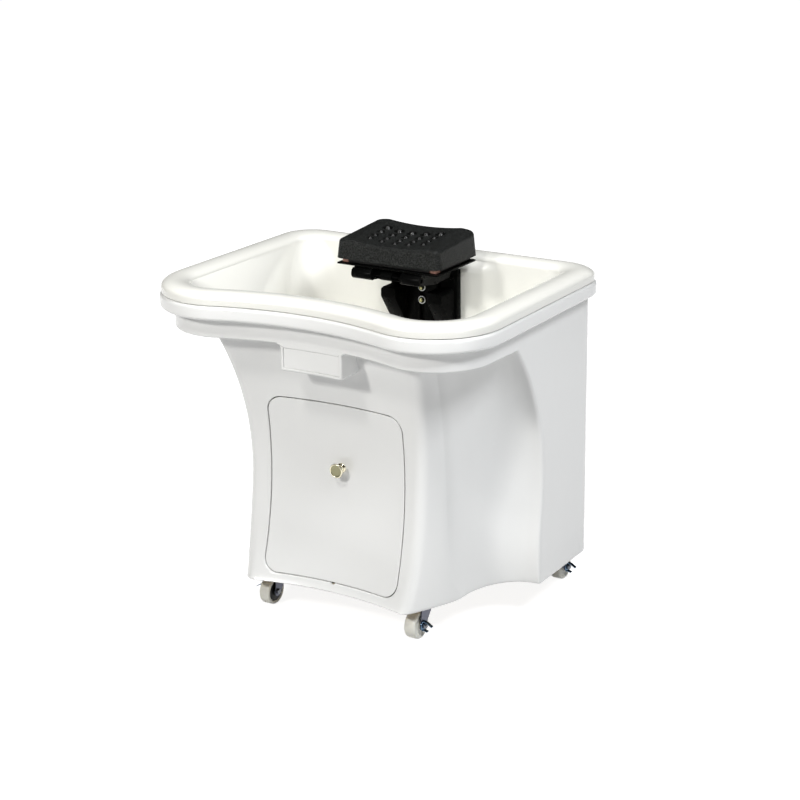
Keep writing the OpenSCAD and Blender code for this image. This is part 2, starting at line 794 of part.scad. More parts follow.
module drain_tailpiece() {
    color("silver") at_drain(tube_low - seam - tail_l) {
        tube(tail_d, tail_d - 3, tail_l);
        translate([0, 0, tail_l - tail_shoulder]) tube(tail_shoulder_d, tail_d - 1, tail_shoulder);
        translate([0, 0, tail_l - tail_collar]) tube(drain_tube_d - 2, tail_d - 1, tail_collar);
    }
}

module tailpiece_nut() {
    h = 14;
    low = tube_low - tail_collar - tail_nut_floor - 2 * seam;
    color("dimgray") at_drain(low) difference() {
        cylinder(d = drain_tube_d + 10, h = h);
        translate([0, 0, tail_nut_floor]) cylinder(d = drain_tube_d + 2 * fit, h = h);
        translate([0, 0, -1]) cylinder(d = tail_shoulder_d + 2 * fit, h = h);
    }
}

module caster_places() {
    for (c = CASTERS) translate([c[1], c[2], 0]) children();
}

module plate_corners() {
    for (x = [-1, 1], y = [-1, 1]) translate([x * (plate_w / 2 - 6), y * (plate_w / 2 - 6), 0]) children();
}

module plate_holes(z, h) {
    plate_corners() translate([0, 0, z]) cylinder(d = screw_d + 0.2, h = h);
}

module caster_plates() {
    top = caster_h - seam / 3;
    head_z = crown_z - crown_t - seam - king_head_t;
    race_z = crown_z + seam;
    color("slategray") caster_places() difference() {
        union() {
            translate([0, 0, top - plate_t / 2]) cube([plate_w, plate_w, plate_t], center = true);
            translate([0, 0, race_z]) cylinder(d1 = king_d + 10, d2 = king_d + 14, h = top - race_z - eps);
            translate([0, 0, head_z]) cylinder(d = king_d, h = top - head_z - eps);
            translate([0, 0, head_z]) cylinder(d = king_d + 5, h = king_head_t);
        }
        plate_holes(top - plate_t - 1, plate_t + 2);
    }
}

module caster_plate_screws() {
    z = caster_h - plate_t - seam / 3;
    color("silver") caster_places() plate_corners() translate([0, 0, z]) {
        translate([0, 0, -1.6]) cylinder(d = 7, h = 1.5);
        translate([0, 0, -1]) cylinder(d = screw_d, h = board_t - 3);
    }
}

module in_caster(c) {
    translate([c[1], c[2], 0]) rotate(c[3]) children();
}

module fork_leg() {
    top = crown_z - crown_t / 2;
    rotate([90, 0, 90]) linear_extrude(height = fork_t) difference() {
        union() {
            translate([-trail, axle_z]) circle(r = 9);
            polygon([
                [-trail - 9, axle_z], [-trail + 8, axle_z - 4], [10, axle_z + 22], [14, top], [-trail - 2, top],
            ]);
        }
        translate([-trail, axle_z]) circle(d = axle_d + 2 * fit);
    }
}

module fork(c) {
    crown_r = leg_x + fork_t;
    color("lightslategray") in_caster(c) difference() {
        union() {
            translate([0, 0, crown_z - crown_t]) cylinder(r = crown_r, h = crown_t);
            translate([-crown_r, -trail, crown_z - crown_t]) cube([2 * crown_r, trail + 6, crown_t]);
            translate([leg_x, 0, 0]) fork_leg();
            translate([-leg_x - fork_t, 0, 0]) fork_leg();
        }
        translate([0, 0, crown_z - crown_t - 1]) cylinder(d = king_d + 2 * fit, h = crown_t + 2);
    }
}

module wheel(c) {
    r = axle_z;
    w = wheel_w / 2;
    bore = axle_d / 2 + fit;
    color("antiquewhite") in_caster(c) translate([0, -trail, axle_z]) rotate([0, 90, 0]) rotate_extrude() polygon([
        [bore, -hub_half], [bore + 3, -hub_half], [bore + 4, -w + 2.5], [r - 6, -w + 2.5], [r - 4.5, -w],
        [r - 2, -w], [r - 0.6, -w + 1.2], [r, -w + 3.5], [r, w - 3.5], [r - 0.6, w - 1.2], [r - 2, w],
        [r - 4.5, w], [r - 6, w - 2.5], [bore + 4, w - 2.5], [bore + 3, hub_half], [bore, hub_half],
    ]);
}

module axle(c) {
    s = c[4];
    head = leg_x + fork_t + seam;
    color("silver") in_caster(c) translate([0, -trail, axle_z]) mirror([s < 0 ? 1 : 0, 0, 0]) {
        x_rod(axle_d, -head, nut_x + eps);
        translate([-head - 3.4, 0, 0]) rotate([0, 90, 0]) cylinder(d = 11, h = 3.4 + eps, $fn = 6);
        translate([nut_x, 0, 0]) rotate([0, 90, 0]) cylinder(d = 11, h = 4, $fn = 6);
        translate([nut_x + 4 - eps, 0, 0]) rotate([0, 90, 0]) cylinder(d = axle_d, h = 1.5);
    }
}

module brake(c) {
    s = c[4];
    ear_w = 7;
    nut_room = 13;
    x0 = lever_x;
    x1 = lever_x + lever_t;
    color("steelblue") in_caster(c) translate([0, -trail, axle_z]) mirror([s < 0 ? 1 : 0, 0, 0]) difference() {
        union() {
            x_rod(20, lever_x, lever_x + lever_t);
            rotate([90, 0, 0]) linear_extrude(height = ear_w, center = true) {
                polygon([
                    [x0, 4], [x0, 8.7], [x0 + 3, 9.2], [x0 + ear_l / 2, 7.2], [x0 + ear_l, 1.4],
                    [x0 + ear_l, 0.2], [x0 + ear_l / 2, 5.8], [x0 + 3, 7.7], [x1, 7.4], [x1, 4],
                ]);
                polygon([
                    [x0, -4], [x1, -4], [x1, -7.4], [x0 + 3, -7.6], [x0 + ear_l / 2, -9.4],
                    [x0 + ear_l / 2, -10.6], [x0 + 3, -9], [x0, -8.7],
                ]);
            }
        }
        x_rod(axle_d + 2 * fit, lever_x - 1, lever_x + lever_t + 1);
        x_rod(nut_room, x1, x1 + 5);
    }
}

// Holes through the bracket and the pillar for the clamp bolts and the bracket's screws
module bracket_holes(y, depth, play) {
    for (z = bolt_z) translate([0, y, z]) rotate([-90, 0, 0]) cylinder(d = clamp_d + play, h = depth);
    for (x = [-mount_screw_x, mount_screw_x])
        translate([x, y, mount_screw_z]) rotate([-90, 0, 0]) cylinder(d = screw_d + play, h = depth);
}

module headrest_bracket() {
    slope_low = bracket_low + 8;
    color("black") difference() {
        union() {
            translate([-bracket_half, channel_y, bracket_low]) cube([2 * bracket_half, bracket_t, bracket_h]);
            for (m = [0, 1]) mirror([m, 0, 0]) intersection() {
                translate([channel_half, 0, 0]) rotate([90, 0, 90])
                    linear_extrude(height = wing_half - channel_half) polygon([
                        [back_y - 1, wing_top], [wing_y, wing_top], [wing_y, wing_top - 19],
                        [lerp(wing_y, channel_y, 0.85), slope_low + 4],
                        [channel_y, slope_low], [back_y - 1, slope_low],
                    ]);
                translate([0, back_y, 0]) rotate([90, 0, 0]) linear_extrude(height = wing_out + 1) polygon([
                    [channel_half - 1, bracket_low], [wing_half, bracket_low], [wing_half, wing_top - 5],
                    [wing_half - 5, wing_top], [channel_half - 1, wing_top],
                ]);
            }
        }
        bracket_holes(channel_y - 1, bracket_t + 2, 2 * fit);
    }
}

module bracket_screws() {
    reach = bracket_t + bowl_wall + 5;
    color("silver") for (x = [-mount_screw_x, mount_screw_x])
        translate([x, channel_y - 0.1, mount_screw_z]) rotate([90, 0, 0]) {
            cylinder(d1 = 9, d2 = 6, h = 2.6);
            translate([0, 0, -reach]) cylinder(d = screw_d, h = reach + eps);
        }
}

module clamp_washers() {
    color("silver") for (z = bolt_z) translate([0, arm_y - 0.1, z]) rotate([90, 0, 0])
        tube(clamp_d + 10, clamp_d + 2 * fit, washer_t);
}

module clamp_bolts() {
    under_head = washer_t + 0.2;
    grip = under_head + arm_t + seam + bracket_t + seam + bowl_wall;
    color("goldenrod") for (z = bolt_z) translate([0, arm_y - under_head, z]) rotate([90, 0, 0]) {
        cylinder(d = 13, h = 5, $fn = 6);
        translate([0, 0, -grip - 8]) cylinder(d = clamp_d, h = grip + 8 + eps);
        translate([0, 0, -grip - 7]) cylinder(d = 14, h = 6.5, $fn = 6);
    }
}

module headrest_arm() {
    half = channel_half - slide_fit;
    low = bracket_low - slide_down + 12;
    block_low = bolt_z[0] + 9 + slide_down + 2;
    top = tilt_z - slide_fit;
    slot_low = bolt_z[1] - slide_up - clamp_d / 2 - 1;
    slot_high = bolt_z[0] + slide_down + clamp_d / 2 + 1;
    color("black") difference() {
        union() {
            translate([-half, arm_y, low]) cube([2 * half, arm_t, top - 4 - low]);
            translate([-knuckle_half, 0, 0]) rotate([90, 0, 90]) linear_extrude(height = 2 * knuckle_half) polygon([
                [arm_y + 1, block_low], [arm_y - 58, block_low + 2], [arm_y - 66, hinge_z - 10],
                [hinge_y, hinge_z - barrel_d / 2], [hinge_y, hinge_z + barrel_d / 2],
                [hinge_y + 14, top], [arm_y + 1, top],
            ]);
            translate([0, hinge_y, hinge_z]) x_rod(barrel_d, -knuckle_half, knuckle_half);
        }
        translate([0, hinge_y, hinge_z]) x_rod(hinge_pin_d + 2 * fit, -knuckle_half - 1, knuckle_half + 1);
        translate([-slot_w / 2, arm_y - 1, slot_low]) cube([slot_w, arm_t + 2, slot_high - slot_low]);
    }
}

module hinge_pin() {
    color("gray") translate([0, hinge_y, hinge_z]) x_rod(hinge_pin_d, -barrel_out + 3, barrel_out - 3);
}

module gusset(x) {
    back = plate_y0 + pillow_d;
    translate([x, 0, 0]) rotate([90, 0, 90]) linear_extrude(height = gusset_t) polygon([
        [hinge_y, hinge_z - barrel_d / 2 + 0.5], [lerp(hinge_y, back, 0.42), hinge_z - 18],
        [lerp(hinge_y, back, 0.75), hinge_z - 15], [lerp(hinge_y, back, 0.9), tilt_z + 1],
        [plate_y0, tilt_z + 1], [plate_y0, hinge_z],
    ]);
}

module tilt_plate() {
    color("black") difference() {
        union() {
            translate([-pillow_w / 2, plate_y0, tilt_z]) cube([pillow_w, pillow_d - 2, tilt_t]);
            for (m = [0, 1]) mirror([m, 0, 0]) {
                translate([0, hinge_y, hinge_z]) x_rod(barrel_d, barrel_in, barrel_out);
                gusset(barrel_in + 2);
                gusset(barrel_out - 6);
            }
        }
        translate([0, hinge_y, hinge_z]) x_rod(hinge_pin_d + 2 * fit, -barrel_out - 1, barrel_out + 1);
        board_screw_places() cylinder(d = screw_d + 2 * fit, h = 10, center = true);
    }
}

module board_screw_places() {
    for (x = [-1, 1], y = [30, pillow_d - 30]) translate([x * (pillow_w / 2 - 20), plate_y0 + y, tilt_z]) children();
}

module pillow_board() {
    color("rosybrown") difference() {
        translate([-pillow_w / 2 + ply_inset, plate_y0 + ply_inset, ply_z])
            cube([pillow_w - 2 * ply_inset, pillow_d - 2 - 2 * ply_inset, ply_t]);
        board_screw_places() translate([0, 0, tilt_t - 1]) cylinder(d = screw_d + 2 * fit, h = 7);
    }
}

module board_screws() {
    color("silver") board_screw_places() {
        translate([0, 0, -2.1]) cylinder(d1 = 6, d2 = 8, h = 2);
        translate([0, 0, -1]) cylinder(d = screw_d, h = tilt_t + 6);
    }
}

// How high a nub stands at a place on the pillow
function nub_rise(x, y) = nub_h * max([for (p = NUBS) clamp01(1.1 - pow(norm([x, y] - p) / nub_r, 2))]);

// Height of the pillow's top over its underside: it rises to the back and is dished across
function pillow_top(x, y) =
    let (u = clamp01((y - plate_y0) / pillow_d), v = abs(x) / (pillow_w / 2))
    lerp(pillow_front_h, pillow_back_h, u) - pillow_dish * (1 - pow(min(1, v / 0.72), 2))
        - pillow_dish * u * pow(clamp01((v - 0.72) / 0.28), 2) + nub_rise(x, y);

// Grid lines through and beside the nubs, and between them
function sorted(v) = len(v) < 2 ? v : concat(
    sorted([for (x = v) if (x < v[0]) x]), [v[0]], sorted([for (x = v) if (x > v[0]) x])
);
function gap_to(v, list) = min([for (o = list) abs(v - o)]);
function nub_lines(centres, fills) = sorted(concat(
    centres,
    [for (c = centres) for (s = [-nub_r, nub_r]) if (gap_to(c + s, centres) > 1.2) c + s],
    [for (f = fills) if (gap_to(f, centres) > nub_r + 2) f]
));

// Lines from edge to edge: the outermost lie on the underside, the next ones round the upper edge
function edge_lines(lo, hi, mid) = concat(
    [lo - pillow_draft, lo + 0.6, lo + 0.3 * pillow_round, lo + pillow_round],
    mid,
    [hi - pillow_round, hi - 0.3 * pillow_round, hi - 0.6, hi + pillow_draft]
);

// Draws a point near a corner onto the corner's rounding
function rounded(p, c, half, r) =
    let (
        q = [abs(p.x - c.x) - half.x + r, abs(p.y - c.y) - half.y + r],
        k = max(q) / norm(q),
        m = [half.x - r + q.x * k, half.y - r + q.y * k]
    )
    min(q) <= 0 ? p : [c.x + sign(p.x - c.x) * m.x, c.y + sign(p.y - c.y) * m.y];

module pillow() {
    half = [pillow_w / 2, pillow_d / 2];
    middle = [0, plate_mid_y];
    columns = sorted([for (p = NUBS) p.x]);
    nub_ys = sorted([for (p = NUBS) p.y]);
    xs = edge_lines(-half.x, half.x, nub_lines(columns, [-78, -68, -41, 41, 68, 78]));
    ys = edge_lines(plate_y0, plate_y0 + pillow_d, nub_lines(nub_ys, [for (t = [26, 51, 75, 99]) plate_y0 + t]));
    nx = len(xs);
    ny = len(ys);
    function level(i, n) = min(i, n - 1 - i, 3);
    function height(x, y, k) = k == 0 ? 0 : pillow_top(x, y) - [0, 1, 0.25, 0][k] * pillow_round;
    top = [for (i = [0:nx - 1], j = [0:ny - 1])
        let (p = rounded([xs[i], ys[j]], middle, half, pillow_round - 1))
        [p.x, p.y, pillow_z + height(p.x, p.y, min(level(i, nx), level(j, ny)))]
    ];
    rim = concat(
        [for (i = [0:nx - 2]) i * ny], [for (j = [0:ny - 2]) (nx - 1) * ny + j],
        [for (i = [nx - 1:-1:1]) i * ny + ny - 1], [for (j = [ny - 1:-1:1]) j]
    );
    faces = concat(
        [for (i = [0:nx - 2], j = [0:ny - 2])
            let (a = i * ny + j, b = a + ny) each [[a, b + 1, b], [a, a + 1, b + 1]]],
        [for (k = [0:len(rim) - 1]) [nx * ny, rim[k], rim[(k + 1) % len(rim)]]]
    );
    color("black") polyhedron(points = concat(top, [[0, plate_mid_y, pillow_z]]), faces = faces);
}

cabinet_shell();
basin();
base_board();
door_frame();
door_magnets();
label_frame();
label_plate();
door_panel();
door_strikes();
door_knob();
knob_rosette();
knob_screw();
drain_body();
drain_gasket();
drain_locknut();
drain_tailpiece();
tailpiece_nut();
drain_strainer();
caster_plates();
caster_plate_screws();
for (c = CASTERS) {
    fork(c);
    axle(c);
    wheel(c);
    brake(c);
}
headrest_bracket();
bracket_screws();
clamp_bolts();
clamp_washers();
headrest_arm();
hinge_pin();
tilt_plate();
pillow_board();
board_screws();
pillow();
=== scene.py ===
from math import atan2, cos, pi, radians, sin, sqrt, tau

import bmesh
import bpy
from mathutils import Matrix, Vector


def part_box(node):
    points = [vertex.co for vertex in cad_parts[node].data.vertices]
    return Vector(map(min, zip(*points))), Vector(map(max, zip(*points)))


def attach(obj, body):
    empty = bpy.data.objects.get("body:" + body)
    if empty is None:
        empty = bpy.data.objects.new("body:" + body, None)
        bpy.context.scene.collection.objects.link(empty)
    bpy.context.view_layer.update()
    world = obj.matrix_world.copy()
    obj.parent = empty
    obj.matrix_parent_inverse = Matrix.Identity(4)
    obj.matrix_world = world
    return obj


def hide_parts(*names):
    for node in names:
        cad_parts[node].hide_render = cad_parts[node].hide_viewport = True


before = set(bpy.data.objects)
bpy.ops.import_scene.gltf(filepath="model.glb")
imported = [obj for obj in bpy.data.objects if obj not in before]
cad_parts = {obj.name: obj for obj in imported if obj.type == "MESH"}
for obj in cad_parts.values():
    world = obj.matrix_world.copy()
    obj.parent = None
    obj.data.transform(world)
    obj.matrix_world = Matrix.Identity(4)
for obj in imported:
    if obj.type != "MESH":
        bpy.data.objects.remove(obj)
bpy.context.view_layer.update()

# Camera
# It stands where the photograph was taken from: in front, to the right, a little above the rim.
# The focal length and the shift give the photograph's framing on a square of 800 pixels.
PHOTO = 800
FOCAL = 1916.27
PRINCIPAL = (483.59, 379.70)
EYE = (1.7369, -2.7481, 1.4379)
AZIMUTH = radians(28.9061)
ELEVATION = radians(17.4989)

lens = bpy.data.cameras.new("camera")
lens.lens = FOCAL / PHOTO * lens.sensor_width
lens.shift_x = (PHOTO / 2 - PRINCIPAL[0]) / PHOTO
lens.shift_y = (PRINCIPAL[1] - PHOTO / 2) / PHOTO
lens.clip_end = 100
camera = bpy.data.objects.new("camera", lens)
camera.location = EYE
camera.rotation_euler = (pi / 2 - ELEVATION, 0, AZIMUTH)
bpy.context.collection.objects.link(camera)
bpy.context.scene.camera = camera

# Cabinet
# One hollow glass-fibre moulding with a rolled rim, a dished front and a scoop on each side.
# Its gloss white gelcoat comes out of the mould slightly wavy; the door hole is cut afterwards.
RIM_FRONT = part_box("cabinet_shell")[0].y
FLOOR_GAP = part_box("cabinet_shell")[0].z
RIM_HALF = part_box("cabinet_shell")[1].x
RIM_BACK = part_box("cabinet_shell")[1].y
SEAM_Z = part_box("cabinet_shell")[1].z

# Rim and band, which follow the neck hollow
NECK_DIP = 0.034
FRONT_R = 0.124
BACK_R = 0.062
INNER_BACK_R = 0.04
LAND_W = 0.055
CABINET_RIM_H = 0.025
RIM_EDGE = 0.006
BAND_H = 0.038
BAND_INSET = 0.023
BAND_FRONT_INSET = 0.027
BAND_LOOSE_R = 0.002
BAND_EDGE = 0.0035
BAND_SOFT = 0.004
BAND_FLARE = 0.003
BAND_FLARE_BACK = 0.2

# Walls, back and the pillar's two eased sides
WALL = 0.005
LEDGE_LIP = 0.002
BACK_INSET = 0.008
BOX_BACK_R = 0.032
PILLAR_FRONT = 0.083
PILLAR_BASE = 0.138
PILLAR_SOFT = 0.014

# Dished front with its waist, and the cove under the band
FACE_R = 0.61
FACE_SETBACK = 0.145
FACE_CORNER = 0.018
WAIST_HALF = 0.174
WAIST_RISE = 0.175
FLARE_TOP = 0.031
TUCK = 0.01
BOTTOM_EDGE = 0.004
COVE = 0.012

# Scoops and side panels, whose front edge weaves back and forth
SCOOP_HALF = 0.196
SCOOP_FLARE = 0.019
SCOOP_STRETCH = 1.4
KNEE_SHARE = 0.8
PANEL_Y = 0.056
PANEL_RISE = 0.205
PANEL_R = 0.376
PANEL_WEAVE = 0.012
WEAVE_LENGTH = 0.28
PANEL_EDGE = 0.008

# Places that follow from these
RIM_LOW = SEAM_Z - CABINET_RIM_H
LEDGE_Z = RIM_LOW - BAND_H
COVE_Z = LEDGE_Z - LEDGE_LIP - COVE
MID_Z = (FLOOR_GAP + LEDGE_Z) / 2
WAIST_Z = FLOOR_GAP + WAIST_RISE
PANEL_Z = FLOOR_GAP + PANEL_RISE
BOX_HALF = RIM_HALF - BAND_INSET
BOX_BACK = RIM_BACK - BACK_INSET
BAND_FRONT = RIM_FRONT + BAND_FRONT_INSET
BAND_R = FRONT_R - BAND_FRONT_INSET + BAND_LOOSE_R
FACE_CY = RIM_FRONT + FACE_SETBACK - FACE_R

# How many points each stretch of an outline has, from the middle of the front to the middle of the back
FRONT_STEPS = 24
CORNER_STEPS = 12
SIDE_STEPS = 12
SCOOP_STEPS = 20
EDGE_STEPS = 8
PANEL_STEPS = 6
BACK_CORNER_STEPS = 15
BACK_STEPS = (3, 7, 5, 7, 6)

# How many rings each stretch of the moulding has, from the bottom edge up
EDGE_RINGS = 6
SIDE_RINGS = 60
COVE_RINGS = 9
BAND_RINGS = 6
INSIDE_RINGS = 30

# Edges that turn by more degrees than this stay crisp; points closer than the other are one
SHARP_ANGLE = 35
SAME_POINT = 1e-6


def lerp(a, b, t):
    return a + (b - a) * t


def clamp01(t):
    return min(1.0, max(0.0, t))


def parts(steps, first=1):
    """Even shares of a whole, up to 1; first=0 starts them at 0."""
    return [i / steps for i in range(first, steps + 1)]


def quarter_turn(steps, first=0):
    """Angles of a quarter turn, for an edge that is rounded over."""
    return [pi / 2 * t for t in parts(steps, first)]


def straight(start, end, steps):
    """Points after the start, up to the end; bend and arc give theirs in the same way."""
    return [start.lerp(end, t) for t in parts(steps)]


def bend(start, knee, end, steps):
    return [start.lerp(knee, t).lerp(knee.lerp(end, t), t) for t in parts(steps)]


def arc(centre, radius, start, end, steps):
    angles = [lerp(start, end, t) for t in parts(steps)]
    return [centre + radius * Vector((cos(a), sin(a))) for a in angles]


def face_y(x, z):
    """The front is part of a sphere, hollow towards the client."""
    return FACE_CY + sqrt(FACE_R ** 2 - x ** 2 - (z - MID_Z) ** 2)


def face_half(z):
    """Half the front's width at a height: it flares above the waist and tucks in below."""
    if z > WAIST_Z:
        return WAIST_HALF + FLARE_TOP * ((z - WAIST_Z) / (LEDGE_Z - WAIST_Z)) ** 2
    return WAIST_HALF - TUCK * ((WAIST_Z - z) / WAIST_RISE) ** 2


def scoop_x(z):
    """How far out the deepest line of a scoop stands at a height."""
    return SCOOP_HALF + SCOOP_FLARE * ((z - MID_Z) / (LEDGE_Z - MID_Z)) ** 2


def panel_front(z):
    """How far back the side panel's front edge stands at a height."""
    if z > PANEL_Z:
        return PANEL_Y - PANEL_R + sqrt(PANEL_R ** 2 - (z - PANEL_Z) ** 2)
    return PANEL_Y - PANEL_WEAVE * (1 - cos(tau * (PANEL_Z - z) / WEAVE_LENGTH)) / 2


def ramp(t, ease=0.16):
    """A straight rise from 0 to 1 whose two ends are eased."""
    if t < -ease or t > 1 + ease:
        return clamp01(t)
    if t < ease:
        return (t + ease) ** 2 / (4 * ease)
    if t > 1 - ease:
        return 1 - (1 + ease - t) ** 2 / (4 * ease)
    return t


def back_edge(start_x, back_y, pillar_y):
    """The back from its corner to the middle, where the bowl's pillar stands forward."""
    base = (PILLAR_BASE + PILLAR_SOFT, PILLAR_BASE - PILLAR_SOFT)
    front = (PILLAR_FRONT + PILLAR_SOFT, PILLAR_FRONT - PILLAR_SOFT)
    knots = [start_x, *base, *front, 0]
    points = []
    for a, b, steps in zip(knots, knots[1:], BACK_STEPS):
        for x in (lerp(a, b, t) for t in parts(steps)):
            depth = ramp((PILLAR_BASE - x) / (PILLAR_BASE - PILLAR_FRONT))
            points.append(Vector((x, lerp(back_y, pillar_y, depth))))
    return points


def mirrored(half):
    return half + [Vector((-p.x, p.y)) for p in half[-2:0:-1]]


def touching_radius(across, dip, corner_r):
    """Radius of the neck hollow that runs smoothly into corners that stand across and dip away from it."""
    return (across ** 2 + dip ** 2 - corner_r ** 2) / (2 * (corner_r - dip))


def rim_outline(front_half, back_half, front_y, neck_y, back_y, front_r, back_r, pillar_y):
    """Neck hollow, front corner, side, back corner and back of everything shaped like the rim."""
    across = front_half - front_r
    dip = front_y + front_r - neck_y
    neck_r = touching_radius(across, dip, front_r)
    turn = atan2(across, dip + neck_r)
    neck = Vector((0, neck_y - neck_r))
    corner = Vector((across, front_y + front_r))
    side_end = Vector((back_half, back_y - back_r))
    knee_y = panel_front(LEDGE_Z) + PANEL_EDGE
    side = Vector((front_half, corner.y))
    knee = side.lerp(side_end, (knee_y - side.y) / (side_end.y - side.y))
    corner_steps = CORNER_STEPS + SIDE_STEPS
    outer_steps = corner_steps // 3
    return mirrored(
        [Vector((0, neck_y))]
        + arc(neck, neck_r, pi / 2, pi / 2 - turn, FRONT_STEPS)
        + arc(corner, front_r, -pi / 2 - turn, -pi / 2, outer_steps)
        + arc(corner, front_r, -pi / 2, 0, corner_steps - outer_steps)
        + straight(side, knee, SCOOP_STEPS + EDGE_STEPS)
        + straight(knee, side_end, PANEL_STEPS)
        + arc(Vector((back_half - back_r, back_y - back_r)), back_r, 0, pi / 2, BACK_CORNER_STEPS)
        + back_edge(back_half - back_r, back_y, pillar_y)
    )


def cabinet_outline(z):
    """Dished front, corner, scoop, side panel and back at a height."""
    half = face_half(z)
    panel_y = panel_front(z)
    width = BOX_HALF - PANEL_EDGE - scoop_x(z)
    depth = SCOOP_STRETCH * width
    front_end = Vector((half - FACE_CORNER, face_y(half - FACE_CORNER, z)))
    corner = Vector((half, face_y(half, z)))
    side_end = Vector((scoop_x(z), panel_y - depth))
    side_knee = Vector((side_end.x, lerp(corner.y, side_end.y, KNEE_SHARE)))
    side_start = corner + FACE_CORNER * (side_knee - corner).normalized()
    edge_start = Vector((side_end.x + width, panel_y))
    edge_end = Vector((BOX_HALF, panel_y + PANEL_EDGE))
    back_corner = Vector((BOX_HALF - BOX_BACK_R, BOX_BACK - BOX_BACK_R))
    fronts = [front_end.x * t for t in parts(FRONT_STEPS)]
    turns = quarter_turn(SCOOP_STEPS, 1)
    return mirrored(
        [Vector((0, face_y(0, z)))]
        + [Vector((x, face_y(x, z))) for x in fronts]
        + bend(front_end, corner, side_start, CORNER_STEPS)
        + bend(side_start, side_knee, side_end, SIDE_STEPS)
        + [Vector((edge_start.x - width * cos(a), panel_y - depth * (1 - sin(a)))) for a in turns]
        + bend(edge_start, Vector((BOX_HALF, panel_y)), edge_end, EDGE_STEPS)
        + straight(edge_end, Vector((BOX_HALF, back_corner.y)), PANEL_STEPS)
        + arc(back_corner, BOX_BACK_R, 0, pi / 2, BACK_CORNER_STEPS)
        + back_edge(back_corner.x, BOX_BACK, BOX_BACK)
    )


def inset(points, distances):
    """Moves each point of an outline inwards, by one distance or by its own."""
    moved = []
    for i, point in enumerate(points):
        along = (points[(i + 1) % len(points)] - points[i - 1]).normalized()
        distance = distances[i] if isinstance(distances, list) else distances
        moved.append(point + distance * Vector((-along.y, along.x)))
    return moved


def at_height(points, z):
    return [Vector((p.x, p.y, z)) for p in points]


def rim_ring(i, z):
    """The rim's outline, i inside its outer edge, at a height."""
    return at_height(rim_outline(
        RIM_HALF - i, RIM_HALF - i, RIM_FRONT + i, RIM_FRONT + NECK_DIP + i, RIM_BACK - i,
        FRONT_R - i, lerp(BACK_R, INNER_BACK_R, i / LAND_W), RIM_BACK - i
    ), z)


def extruded(bm, edges):
    """Extrudes open edges once, and gives the new vertices and the new open edges."""
    made = bmesh.ops.extrude_edge_only(bm, edges=edges)["geom"]
    fresh = {v for v in made if isinstance(v, bmesh.types.BMVert)}
    return fresh, [e for e in made if isinstance(e, bmesh.types.BMEdge) and fresh.issuperset(e.verts)]


def capped(bm):
    """Fills the open ends of a form."""
    bmesh.ops.holes_fill(bm, edges=[e for e in bm.edges if e.is_boundary])


def loft(rings, joined=False):
    """Skins a stack of rings by extruding each from the one before; its ends are joined, or else capped."""
    bm = bmesh.new()
    first = corners = [bm.verts.new(p) for p in rings[0]]
    edges = [bm.edges.new(pair) for pair in zip(corners, corners[1:] + corners[:1])]
    for ring in rings[1:] + (rings[:1] if joined else []):
        fresh, edges = extruded(bm, edges)
        corners = [next(e.other_vert(v) for e in v.link_edges if e.other_vert(v) in fresh) for v in corners]
        for corner, point in zip(corners, ring):
            corner.co = point
    if joined:
        bmesh.ops.remove_doubles(bm, verts=first + corners, dist=SAME_POINT)
    else:
        capped(bm)
    return bm


def new_object(name, bm):
    """Puts a form into the scene as an object of its own."""
    mesh = bpy.data.meshes.new(name)
    bm.to_mesh(mesh)
    bm.free()
    made = bpy.data.objects.new(name, mesh)
    bpy.context.collection.objects.link(made)
    return made


def finished(name, bm, body, material, sharp=SHARP_ANGLE):
    """Makes a mesh a piece that rides on a body, smooth but for its sharp edges."""
    bmesh.ops.recalc_face_normals(bm, faces=bm.faces)
    piece = new_object(name, bm)
    piece.data.materials.append(material)
    piece.data.shade_smooth()
    piece.data.set_sharp_from_angle(angle=radians(sharp))
    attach(piece, body)
    return piece


def new_material(name, colour, roughness, metallic=0.0):
    """A material, its node tree and its shader, with the values that are the same all over."""
    material = bpy.data.materials.new(name)
    material.use_nodes = True
    shader = material.node_tree.nodes["Principled BSDF"]
    shader.inputs["Base Color"].default_value = (*colour, 1)
    shader.inputs["Roughness"].default_value = roughness
    shader.inputs["Metallic"].default_value = metallic
    return material, material.node_tree, shader


def noise(tree, scale, detail=3.0, stretch=(1, 1, 1)):
    """A noise on the piece's own coordinates; scale is in lumps a metre."""
    coordinates = tree.nodes.new("ShaderNodeTexCoord")
    mapping = tree.nodes.new("ShaderNodeMapping")
    mapping.inputs["Scale"].default_value = stretch
    pattern = tree.nodes.new("ShaderNodeTexNoise")
    pattern.inputs["Scale"].default_value = scale
    pattern.inputs["Detail"].default_value = detail
    tree.links.new(coordinates.outputs["Object"], mapping.inputs["Vector"])
    tree.links.new(mapping.outputs["Vector"], pattern.inputs["Vector"])
    return pattern.outputs["Fac"]


def blend(tree, share, low, high):
    """Goes from one number or colour to another by a pattern; the second may be another node's output."""
    mix = tree.nodes.new("ShaderNodeMix")
    mix.data_type = "RGBA" if isinstance(low, tuple) else "FLOAT"
    factor, first, second = [s for s in mix.inputs if s.enabled]
    tree.links.new(share, factor)
    for socket, value in ((first, low), (second, high)):
        if isinstance(value, bpy.types.NodeSocket):
            tree.links.new(value, socket)
        else:
            socket.default_value = (*value, 1) if isinstance(value, tuple) else value
    return next(s for s in mix.outputs if s.enabled)


def vary(tree, shader, socket, pattern, low, high):
    """Drives a number or a colour of the shader between two values by a pattern."""
    tree.links.new(blend(tree, pattern, low, high), shader.inputs[socket])


def relief(tree, shader, pattern, depth):
    """Raises the surface by a pattern; depth is the height of its lumps in metres."""
    bump = tree.nodes.new("ShaderNodeBump")
    bump.inputs["Distance"].default_value = depth
    tree.links.new(pattern, bump.inputs["Height"])
    tree.links.new(bump.outputs["Normal"], shader.inputs["Normal"])


